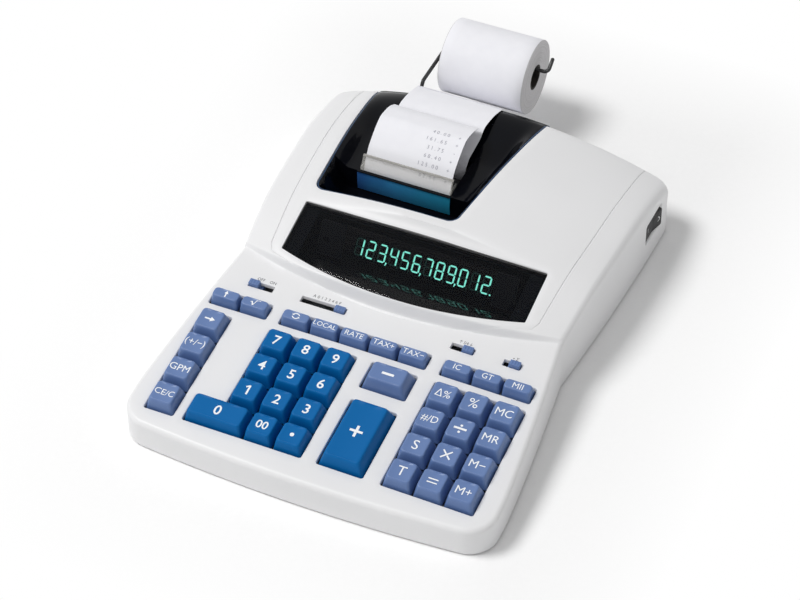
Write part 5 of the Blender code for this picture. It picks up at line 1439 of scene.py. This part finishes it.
def make_tear_bar():
    """Clear strip leaning with the paper, its saw teeth a triangle wave, and two arms."""
    x = np.linspace(PRINT_CENTRE - BAR_HALF_WIDTH, PRINT_CENTRE + BAR_HALF_WIDTH, 153)
    wave = panel_size("tooth_height") * np.abs(((x - x[0]) / 0.0008) % 2 - 1)
    base = np.array((0.0463, 0.0500, 0.0540))
    rise = np.concatenate((np.repeat(base[:, None], len(x), 1), [0.0546 + wave]))
    lean = BAR_Y + 0.0050 * (rise - BAR_FOOT) / 0.0088
    front = np.stack((np.broadcast_to(x, rise.shape), lean - 0.0005, rise), -1)
    back = np.stack((np.broadcast_to(x, rise.shape), lean + 0.0005, rise), -1)
    points, groups = loft(np.concatenate((front, back[:, ::-1]), 1))
    rows = groups[0].reshape(3, -1, 4)
    parts = [(points, [rows[2]]), (points, [rows[:2].reshape(-1, 4)] + groups[1:])]
    for side in (-1, 1):
        centre = PRINT_CENTRE + side * 0.0299
        across = np.array((-0.0005, 0.0005, 0.0005, -0.0005)) + centre
        y = np.linspace(0.2283, 0.2381, 7)
        t = (y - y[0]) / (y[-1] - y[0])
        low = 0.0453 + 0.0020 * t
        high = 0.0487 - 0.0007 * t
        level = np.stack((low, low, high, high), -1)
        rings = np.stack((np.broadcast_to(across, level.shape),
                          np.broadcast_to(y[:, None], level.shape), level), -1)
        parts.append(loft(rings[::-1]))
    points, groups = join(parts)
    item = make_piece("clear_tear_bar", (to_world(points), groups),
                      [FINISH["clear"], FINISH["edge"]], [1] + [0] * (len(groups) - 1),
                      smooth=False)
    seat(item, "case", "tear_bar")


def smooth_run(knots, steps):
    """Catmull-Rom curve through knots."""
    knots = np.array(knots, dtype=float)
    ends = np.concatenate((2 * knots[:1] - knots[1:2], knots, 2 * knots[-1:] - knots[-2:-1]))
    t = (np.arange(steps) / steps)[:, None]
    rows = [0.5 * (2 * b + (c - a) * t + (2 * a - 5 * b + 4 * c - d) * t ** 2
                   + (3 * b - 3 * c + d - a) * t ** 3)
            for a, b, c, d in zip(ends, ends[1:], ends[2:], ends[3:])]
    return np.concatenate(rows + [knots[-1:]])


def paper_path():
    """Side view of the paper: off the roll, over the edge, round the platen and out."""
    edge = float(case_top(PRINT_RIGHT, CASE_LENGTH - 0.003)) + 0.0006
    entry, leave = PLATEN_Y + WRAP_RADIUS, PLATEN_Y - WRAP_RADIUS
    dy, dz = ROLL_Y - CASE_LENGTH, ROLL_Z - (edge - 0.0015)
    gap = ROLL_RADIUS + 0.0005
    far = math.hypot(dy, dz)
    angle = math.atan2(dz, dy) - math.asin(gap / far)
    run = math.sqrt(far ** 2 - gap ** 2)
    first = (CASE_LENGTH + run * math.cos(angle), edge - 0.0015 + run * math.sin(angle))
    reach = CASE_LENGTH - entry
    knots = [first, (CASE_LENGTH, edge - 0.0015), (CASE_LENGTH - 0.003, edge + 0.0006)]
    knots += [(entry + reach * p, BOX_TOP + (CASE_HEIGHT - BOX_TOP) * h) for p, h in
              zip((0.770, 0.594, 0.478, 0.384, 0.216, 0.095),
                  (0.844, 0.933, 0.880, 0.607, 0.400, 0.237))]
    knots += [(entry, PLATEN_Z + 0.011), (entry, PLATEN_Z)]
    turn = np.linspace(0.0, math.pi, 25)[1:]
    wrap = np.stack((PLATEN_Y + WRAP_RADIUS * np.cos(turn),
                     PLATEN_Z - WRAP_RADIUS * np.sin(turn)), -1)
    reach = CASE_LENGTH - leave
    out = [(leave, PLATEN_Z), (leave, (PLATEN_Z + BAR_FOOT) / 2), (leave + 0.0003, BAR_FOOT),
           (leave + 0.0050, 0.0550)]
    out += [(leave + reach * p, BOX_TOP + 0.0135 * h) for p, h in
            zip((0.134, 0.297, 0.412, 0.503, 0.590), (1.000, 1.547, 1.524, 1.381, 1.090))]
    path = np.concatenate((smooth_run(knots, 8)[:-1], wrap[:-1], smooth_run(out, 8)))
    return path, first, len(path) - (len(out) - 1) * 8 - 1


def sweep_point(path, length):
    """Points at lengths along the path, with the path's normal there."""
    total = distance_run(path)
    y = np.interp(length, total, path[:, 0])
    z = np.interp(length, total, path[:, 1])
    ahead = heading(path)
    ny = np.interp(length, total, ahead[:, 1])
    nz = np.interp(length, total, -ahead[:, 0])
    return y, z, ny, nz


def make_paper():
    """Paper band: rectangle carried along the path, its middle line moving across."""
    path, first, leave = paper_path()
    entry = PLATEN_Y + WRAP_RADIUS
    share = np.clip((first[0] - path[:, 0]) / (first[0] - entry), 0.0, 1.0)
    passed = np.maximum.accumulate(share)
    centre = ROLL_X + (PRINT_CENTRE - ROLL_X) * passed
    ahead = heading(path)
    normal = np.stack((ahead[:, 1], -ahead[:, 0]), -1) * 0.00012
    across = np.linspace(-PAPER_HALF_WIDTH, PAPER_HALF_WIDTH, 13)
    across = np.concatenate((across, across[::-1]))
    sign = np.repeat((-1.0, 1.0), 13)
    x = centre[:, None] + across
    y = path[:, :1] + normal[:, :1] * sign
    z = path[:, 1:] + normal[:, 1:] * sign
    points, groups = loft(np.stack((x, y, z), -1))
    paper = make_piece("paper_band", (to_world(points), groups), [FINISH["paper"]], angle=50)
    seat(paper, "case", "paper_strip")
    make_print(path, leave)


def make_print(path, leave):
    """Faint rows of plain numbers on the strip, each laid on it by length along it."""
    total = distance_run(path)
    start = float(np.interp(0.0548, path[leave:leave + 40, 1], total[leave:leave + 40]))
    rows = []
    lines = ((0.0030, "1 2 5 . 0 0", "+"), (0.0085, "6 8 . 4 0", "+"), (0.0140, "3 1 . 7 5", "-"),
             (0.0195, "1 6 1 . 6 5", "*"), (0.0250, "4 0 . 0 0", "+"),
             (-0.0040, "8 2 . 5 0", "+"))
    for place, text, mark in lines:
        for word, right in ((text, 0.0180), (mark, 0.0255)):
            points, triangles = letters(word, panel_size("print_height"))
            x = PRINT_CENTRE + right + points[:, 0] - points[:, 0].max()
            y, z, ny, nz = sweep_point(path, start + place + points[:, 1])
            rows.append((np.stack((x, y - ny * 0.0002, z - nz * 0.0002), -1), [triangles]))
    points, groups = join(rows)
    item = make_piece("printed_rows", (to_world(points), groups), [FINISH["ink"]],
                      smooth=False)
    seat(item, "case")


def make_roll():
    """Wound roll: a turned profile whose rim and ends wander by hundredths, and its core."""
    turn = np.linspace(0.0, 2 * math.pi, 96, endpoint=False)
    half, core = PAPER_HALF_WIDTH, ROLL_BORE
    profile = [(core, -half)] + [(r, -half + 0.00012 * math.sin(r * 9000))
                                 for r in np.linspace(core + 0.0012, ROLL_RADIUS - 0.0004, 14)]
    profile += [(ROLL_RADIUS, -half + 0.0004)]
    profile += [(ROLL_RADIUS, x) for x in np.linspace(-half, half, 9)[1:-1]]
    profile += [(r, -x) for r, x in profile[15::-1]]
    profile = np.array(profile)
    radius, x = profile.T
    wander = 1 + 0.0012 * np.cos(2 * turn)[None] * (radius[:, None] > core + 0.001)
    y = radius[:, None] * np.cos(turn) * wander
    z = radius[:, None] * np.sin(turn) * wander
    rings = np.stack((np.broadcast_to(x[:, None], y.shape) + ROLL_X, ROLL_Y + y, ROLL_Z + z), -1)
    rings = np.concatenate((rings, rings[:1]))
    points, groups = loft(rings, False)
    faces = groups[0].reshape(len(profile), -1, 4)
    ends = (np.abs(profile[:, 0] - np.roll(profile[:, 0], -1)) > 0.0003)
    bore = np.zeros(len(profile), dtype=bool)
    bore[-1] = True
    # End faces take the end finish and the bore the core finish; both are darkened with painted
    # shade.
    kinds = [faces[ends & ~bore].reshape(-1, 4), faces[~ends & ~bore].reshape(-1, 4),
             faces[bore].reshape(-1, 4)]
    item = make_piece("paper_roll_wound", (to_world(points), kinds),
                      [FINISH["roll_end"], FINISH["paper"], FINISH["card"]], [0, 1, 2], 40)
    seat(item, "paper_roll", "paper_roll")
    rings = []
    bore = core - panel_size("core_wall")
    for radius, x in ((core, -half), (core, half), (bore, half), (bore, -half), (core, -half)):
        rings.append(np.stack((np.full(len(turn), ROLL_X + x), ROLL_Y + radius * np.cos(turn),
                               ROLL_Z + radius * np.sin(turn)), -1))
    points, groups = loft(np.array(rings)[::-1], False)
    item = make_piece("paper_roll_core", (to_world(points), groups), [FINISH["card"]])
    seat(item, "paper_roll")


def rounded_path(knots, radius, steps):
    """Path of straight runs with an arc at each inner corner."""
    knots = [np.array(k) for k in knots]
    rows = [knots[0][None]]
    for a, b, c in zip(knots, knots[1:], knots[2:]):
        u, v = (a - b) / np.linalg.norm(a - b), (c - b) / np.linalg.norm(c - b)
        half = math.acos(max(min(float(u @ v), 1.0), -1.0)) / 2
        reach = min(radius / math.tan(half), 0.45 * min(np.linalg.norm(a - b),
                                                       np.linalg.norm(c - b)))
        r = reach * math.tan(half)
        middle = (u + v) / np.linalg.norm(u + v)
        centre = b + middle * r / math.sin(half)
        start, end = b + u * reach - centre, b + v * reach - centre
        angle = math.acos(max(min(float(start @ end) / r ** 2, 1.0), -1.0))
        t = np.linspace(0.0, 1.0, steps)[:, None]
        rows.append(centre + (np.sin((1 - t) * angle) * start
                              + np.sin(t * angle) * end) / math.sin(angle))
    rows.append(knots[-1][None])
    return np.concatenate(rows)


def tube_along(path, radius, count=16):
    """Circle carried along a path by frames that turn as little as possible."""
    ahead = heading(path)
    side = np.cross(ahead[0], (0.31, 0.17, 0.93))
    side /= np.linalg.norm(side)
    sides = []
    for direction in ahead:
        side = side - direction * (side @ direction)
        side = side / np.linalg.norm(side)
        sides.append(side)
    sides = np.array(sides)
    other = np.cross(ahead, sides)
    turn = np.linspace(0.0, 2 * math.pi, count, endpoint=False)
    radius = np.broadcast_to(radius, len(path))[:, None, None]
    rings = path[:, None] + radius * (np.cos(turn)[:, None] * sides[:, None]
                                      + np.sin(turn)[:, None] * other[:, None])
    return loft(rings)


def make_wire():
    """Bent wire that carries the roll: straight runs and small bends, a domed tip."""
    y = CASE_LENGTH - 0.0120
    knots = [(WIRE_X, y, 0.0385), (WIRE_X, CASE_LENGTH + WIRE_RADIUS, 0.0385),
             (WIRE_X, CASE_LENGTH + 0.00875, 0.05055), (WIRE_X, ROLL_Y, 0.05055),
             (0.0090, ROLL_Y, 0.05055), (0.0090, ROLL_Y + 0.0088, 0.05605)]
    path = rounded_path(knots, 0.0030, 10)
    path = dense(path, 0.004, False)
    radius = np.full(len(path), WIRE_RADIUS)
    tip = (path[-1] - path[-2]) / np.linalg.norm(path[-1] - path[-2])
    dome = np.linspace(0.0, math.pi / 2, 6)[1:]
    path = np.concatenate((path[:-1], path[-1] - tip * WIRE_RADIUS
                           + tip * WIRE_RADIUS * np.sin(dome)[:, None]))
    radius = np.concatenate((radius[:-1], WIRE_RADIUS * np.cos(dome) + 0.00002))
    points, groups = tube_along(path, radius)
    item = make_piece("roll_wire", (to_world(points), groups), [FINISH["wire"]], angle=60)
    seat(item, "case", "roll_holder_wire")


# Rear and inside

def make_rocker():
    """Rocker: two flat faces that meet in a shallow valley, rounded round the edge."""
    half, tall = 0.0105, 0.0070
    valley = math.tan(math.radians(8)) * half
    depth = np.array((-0.0068, -0.0008, -0.0003, 0.0, 0.0))
    cut = np.array((0.0, 0.0, 0.0002, 0.0006, 0.0040))
    ring = ring_plan(half - cut, tall - cut, np.full(5, 0.0012), 5, 9)
    face = 0.0006 + valley * np.minimum(np.abs(ring[..., 0]) / half, 1.0)
    out = np.where(depth[:, None] < -0.005, depth[:, None], face + depth[:, None])
    angle = math.radians(-8)
    along, up = ring[..., 0], ring[..., 1]
    hub = float(half_width(ROCKER_Y)) - 0.00175
    rings = np.stack((hub + out * math.cos(angle) - along * math.sin(angle),
                      ROCKER_Y + out * math.sin(angle) + along * math.cos(angle),
                      ROCKER_Z + up), -1)
    points, groups = loft(rings)
    rocker = make_piece("rocker_cap", (to_world(points), groups), [FINISH["dark"]])
    rows = [(bar((-0.0062, -0.0018), (-0.0062, 0.0018), 0.0005), [QUAD])]
    outer, inner = (circle(24) * radius + (0.0062, 0.0) for radius in (0.0019, 0.0014))
    k = np.arange(24)
    ahead = np.roll(k, -1)
    rows.append((np.concatenate((outer, inner)),
                 [np.stack((k, ahead, ahead + 24, k + 24), -1)]))
    flat, groups = join(rows)
    out = 0.0006 + valley * np.abs(flat[:, 0]) / half + 0.00004
    points = np.stack((hub + out * math.cos(angle) - flat[:, 0] * math.sin(angle),
                       ROCKER_Y + out * math.sin(angle) + flat[:, 0] * math.cos(angle),
                       ROCKER_Z + flat[:, 1]), -1)
    marks = make_piece("rocker_marks", (to_world(points), groups), [FINISH["legend"]],
                       smooth=False)
    seat(rocker, "power_rocker", "power_rocker")
    seat(marks, "power_rocker")


def make_gland():
    """Ribbed sleeve where the lead would pass the rear wall: radius is a tapering wave."""
    x = np.linspace(0.0, 1.0, 41)
    radius = 0.0055 - 0.0012 * x + 0.00035 * np.sin(x * 5 * 2 * math.pi) * (x > 0.05)
    radius = np.concatenate(([0.0066, 0.0066], radius, [0.0026, 0.0026]))
    place = np.concatenate(([-0.0004, 0.0010], 0.0010 + 0.0050 * x, [0.0060, 0.0030]))
    turn = np.linspace(0.0, 2 * math.pi, 40, endpoint=False)
    rings = np.stack((GLAND_X + radius[:, None] * np.cos(turn),
                      np.broadcast_to(CASE_LENGTH + place[:, None], (len(radius), 40)),
                      GLAND_Z - radius[:, None] * np.sin(turn)), -1)
    points, groups = loft(rings)
    item = make_piece("lead_sleeve", (to_world(points), groups), [FINISH["dark"]])
    seat(item, "case")


def finish_inner():
    """Finishes of the CAD pieces that stay: the pan and what is inside."""
    for name, finish in (("bottom_housing", "pan"), ("key_guide_plate", "steel"),
                         ("main_board", "board"), ("printer_frame", "steel"),
                         ("transformer", "core"), ("platen_roller", "rubber"),
                         ("print_drum", "steel")):
        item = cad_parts[name]
        for slot in item.material_slots:
            slot.material = FINISH[finish]


def make_housing():
    """Upper housing with the rocker's opening and the panel groove."""
    shape = case_shell()
    item = make_piece("housing_shell", (to_world(shape[0]), shape[1]), [FINISH["shell"]],
                      angle=32)
    cut_with(item, rocker_cut())
    item.data.shade_smooth()
    item.data.set_sharp_from_angle(angle=math.radians(32))
    seat(item, "case", "top_housing")


# Stage

def make_stage(looks):
    """Pale floor, soft lamps and the camera at the photograph's angle."""
    material, tree, shader, place = start("white_paper_sweep")
    size = add(tree, "VectorMath", {0: place}, operation="ABSOLUTE").outputs["Vector"]
    past = add(tree, "VectorMath", {0: size, 1: (FRONT_HALF_WIDTH, HALF_LENGTH, 1.0)},
               operation="SUBTRACT").outputs["Vector"]
    past = add(tree, "VectorMath", {0: past, 1: (0.0, 0.0, 0.0)}, operation="MAXIMUM")
    far = add(tree, "VectorMath", {0: past.outputs["Vector"]}, operation="LENGTH")
    fade = add(tree, "MapRange", {"Value": far.outputs["Value"], "From Min": FLOOR_FADE[0],
                                  "From Max": FLOOR_FADE[1]})
    grain = add(tree, "TexNoise", {"Vector": place, "Scale": 300.0, "Detail": 2.0})
    tone = add(tree, "MapRange", {"Value": grain.outputs["Fac"], "To Min": 0.97,
                                  "To Max": 1.0})
    give(tree, shader, {"Base Color": tone.outputs["Result"], "Roughness": 0.9,
                        "Specular IOR Level": 0.0})
    glow_node = add(tree, "Emission", {"Strength": 1.0, "Color": (1.0, 1.0, 1.0, 1.0)})
    both = add(tree, "MixShader", {0: fade.outputs["Result"]})
    tree.links.new(shader.outputs[0], both.inputs[1])
    tree.links.new(glow_node.outputs[0], both.inputs[2])
    tree.links.new(both.outputs[0], tree.nodes["Material Output"].inputs["Surface"])
    ring = np.column_stack((circle(64), np.zeros(64)))
    rings = np.array((0.02, 0.3, 1.0, 4.0))[:, None, None] * ring
    points, groups = loft(rings[::-1], False)
    centre = np.concatenate((points, [(0.0, 0.0, 0.0)]))
    last = np.arange(64) + 64 * 3
    fan = np.stack((last, np.roll(last, -1), np.full(64, len(points))), -1)
    floor = make_piece("studio_floor", (centre - (0.0, 0.0, 0.0002), [groups[0][:, ::-1], fan]),
                       [material], smooth=False)
    world = bpy.data.worlds.new("studio")
    world.use_nodes = True
    bpy.context.scene.world = world
    tree = world.node_tree
    rays = add(tree, "LightPath")
    seen = add(tree, "Math", {0: rays.outputs["Is Camera Ray"],
                              1: rays.outputs["Is Transmission Ray"]}, operation="MAXIMUM")
    seen = add(tree, "Math", {0: seen.outputs[0], 1: rays.outputs["Is Glossy Ray"]},
               operation="MAXIMUM")
    level = add(tree, "MapRange", {"Value": seen.outputs[0], "To Min": looks.fill_level,
                                   "To Max": 1.0})
    tree.links.new(level.outputs["Result"], tree.nodes["Background"].inputs["Strength"])
    tree.nodes["Background"].inputs["Color"].default_value = (1.0, 1.0, 1.0, 1.0)
    for name, place, size, share in LAMPS:
        data = bpy.data.lights.new(name, "AREA")
        data.shape = "DISK"
        data.size = size
        data.energy = looks.lamp_power * share
        lamp = bpy.data.objects.new(name, data)
        lamp.location = place
        lamp.rotation_euler = (-Vector(place)).to_track_quat("-Z", "Y").to_euler()
        bpy.context.scene.collection.objects.link(lamp)
    data = bpy.data.cameras.new("photo_camera")
    data.lens = CAMERA_LENS
    data.sensor_width = 36.0
    camera = bpy.data.objects.new("photo_camera", data)
    bpy.context.scene.collection.objects.link(camera)
    camera.matrix_world = Matrix.Translation(CAMERA_PLACE) @ Matrix(CAMERA_AXES).to_4x4()
    bpy.context.scene.camera = camera
    bpy.context.scene.view_settings.view_transform = "Standard"


# Properties, operators and panel

class CalculatorSizes(bpy.types.PropertyGroup):
    """Sizes that a user may change before the pieces are made."""

    key_dish: bpy.props.FloatProperty(
        name="Key dish", description="How far the top of a key sinks in the middle",
        unit="LENGTH", min=0.0, precision=4, default=0.0006)
    bar_dish: bpy.props.FloatProperty(
        name="Low key dish", description="How far the top of a low key sinks in the middle",
        unit="LENGTH", min=0.0, precision=4, default=0.0003)
    groove_half_width: bpy.props.FloatProperty(
        name="Groove half width", description="Half the width of the panel groove",
        unit="LENGTH", min=0.0, precision=4, default=0.0005)
    groove_depth: bpy.props.FloatProperty(
        name="Groove depth", description="Depth of the panel groove",
        unit="LENGTH", min=0.0, precision=4, default=0.0006)
    digit_height: bpy.props.FloatProperty(
        name="Digit height", description="Height of a lit digit on the tube",
        unit="LENGTH", min=0.0, precision=4, default=0.0104)
    digit_half_width: bpy.props.FloatProperty(
        name="Digit half width", description="Half the width of a lit digit",
        unit="LENGTH", min=0.0, precision=4, default=0.0022)
    segment_width: bpy.props.FloatProperty(
        name="Segment width", description="Width of one bar of a digit",
        unit="LENGTH", min=0.0, precision=4, default=0.0010)
    tooth_height: bpy.props.FloatProperty(
        name="Tooth height", description="Height of the saw teeth of the tear bar",
        unit="LENGTH", min=0.0, precision=4, default=0.0002)
    print_height: bpy.props.FloatProperty(
        name="Print height", description="Letter size of the rows on the paper",
        unit="LENGTH", min=0.0, precision=4, default=0.0034)
    core_wall: bpy.props.FloatProperty(
        name="Core wall", description="Wall of the roll's board core",
        unit="LENGTH", min=0.0, precision=4, default=0.0014)


class CalculatorLooks(bpy.types.PropertyGroup):
    """Colours and levels that a user may change before the pieces are made."""

    shell_colour: bpy.props.FloatVectorProperty(
        name="Housing colour", description="Off-white of the upper housing", size=4,
        subtype="COLOR", min=0.0, max=1.0, default=linear("E9E9EA"))
    number_colour: bpy.props.FloatVectorProperty(
        name="Number key colour", description="Bright blue of the number keys", size=4,
        subtype="COLOR", min=0.0, max=1.0, default=linear("0264A6"))
    function_colour: bpy.props.FloatVectorProperty(
        name="Function key colour", description="Slate blue of the other keys", size=4,
        subtype="COLOR", min=0.0, max=1.0, default=linear("5F7AAC"))
    legend_colour: bpy.props.FloatVectorProperty(
        name="Legend colour", description="Ink of the key legends", size=4,
        subtype="COLOR", min=0.0, max=1.0, default=linear("F6F8FA"))
    digit_colour: bpy.props.FloatVectorProperty(
        name="Digit colour", description="Colour of the lit digits", size=4,
        subtype="COLOR", min=0.0, max=1.0, default=linear("8AF6E2"))
    digit_glow: bpy.props.FloatProperty(
        name="Digit glow", description="Emission strength of the lit digits",
        min=0.0, default=3.2)
    digits: bpy.props.StringProperty(
        name="Digits", description="What the display shows, twelve digits at most",
        default="123456789012")
    lamp_power: bpy.props.FloatProperty(
        name="Lamp power", description="Power of the main studio lamp", unit="POWER",
        min=0.0, default=66.0)
    fill_level: bpy.props.FloatProperty(
        name="Fill level", description="Strength of the even light from all round",
        min=0.0, subtype="FACTOR", max=1.0, default=0.41)


class MakeHousing(bpy.types.Operator):
    """Finishes, the upper housing and the finishes of the inner pieces"""

    bl_idname = "calculator.make_housing"
    bl_label = "Housing"

    def execute(self, context):
        make_finishes(context.scene.calculator_looks)
        make_housing()
        finish_inner()
        return {"FINISHED"}


class MakeKeys(bpy.types.Operator):
    """Forty key caps with their legends"""

    bl_idname = "calculator.make_keys"
    bl_label = "Keys"

    def execute(self, context):
        make_keys()
        return {"FINISHED"}


class MakeSwitches(bpy.types.Operator):
    """Slide switch knobs and the labels behind them"""

    bl_idname = "calculator.make_switches"
    bl_label = "Slide switches"

    def execute(self, context):
        make_switches()
        switch_labels()
        return {"FINISHED"}


class MakeDisplay(bpy.types.Operator):
    """Lens, frame, tub, tube and digits"""

    bl_idname = "calculator.make_display"
    bl_label = "Display"

    def execute(self, context):
        make_display()
        return {"FINISHED"}


class MakePrinter(bpy.types.Operator):
    """Smoked cover, paper box face and tear bar"""

    bl_idname = "calculator.make_printer"
    bl_label = "Printer cover"

    def execute(self, context):
        make_cover()
        make_box_face()
        make_tear_bar()
        return {"FINISHED"}


class MakePaper(bpy.types.Operator):
    """Paper band with its print, the roll and the wire that carries it"""

    bl_idname = "calculator.make_paper"
    bl_label = "Paper and roll"

    def execute(self, context):
        make_paper()
        make_roll()
        make_wire()
        return {"FINISHED"}


class MakeRear(bpy.types.Operator):
    """Power rocker and the sleeve of the lead"""

    bl_idname = "calculator.make_rear"
    bl_label = "Rocker and sleeve"

    def execute(self, context):
        make_rocker()
        make_gland()
        return {"FINISHED"}


class MakeStage(bpy.types.Operator):
    """Floor, lamps, background and camera"""

    bl_idname = "calculator.make_stage"
    bl_label = "Stage"

    def execute(self, context):
        make_stage(context.scene.calculator_looks)
        return {"FINISHED"}


OPERATORS = (MakeHousing, MakeKeys, MakeSwitches, MakeDisplay, MakePrinter, MakePaper,
             MakeRear, MakeStage)


class CalculatorPanel(bpy.types.Panel):
    """Sidebar list of the sizes, the colours and every step"""

    bl_idname = "VIEW3D_PT_calculator"
    bl_label = "Printing calculator"
    bl_space_type = "VIEW_3D"
    bl_region_type = "UI"
    bl_category = "Calculator"

    def draw(self, context):
        for group, values in ((CalculatorSizes, context.scene.calculator_sizes),
                              (CalculatorLooks, context.scene.calculator_looks)):
            for name in group.__annotations__:
                self.layout.prop(values, name)
        for step in OPERATORS:
            self.layout.operator(step.bl_idname)


CLASSES = (CalculatorSizes, CalculatorLooks) + OPERATORS + (CalculatorPanel,)


def register():
    for item in CLASSES:
        bpy.utils.register_class(item)
    bpy.types.Scene.calculator_sizes = bpy.props.PointerProperty(type=CalculatorSizes)
    bpy.types.Scene.calculator_looks = bpy.props.PointerProperty(type=CalculatorLooks)


def unregister():
    del bpy.types.Scene.calculator_looks
    del bpy.types.Scene.calculator_sizes
    for item in reversed(CLASSES):
        bpy.utils.unregister_class(item)


def main():
    """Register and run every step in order."""
    register()
    bpy.ops.calculator.make_housing()
    bpy.ops.calculator.make_keys()
    bpy.ops.calculator.make_switches()
    bpy.ops.calculator.make_display()
    bpy.ops.calculator.make_printer()
    bpy.ops.calculator.make_paper()
    bpy.ops.calculator.make_rear()
    bpy.ops.calculator.make_stage()


if __name__ == "__main__":
    main()
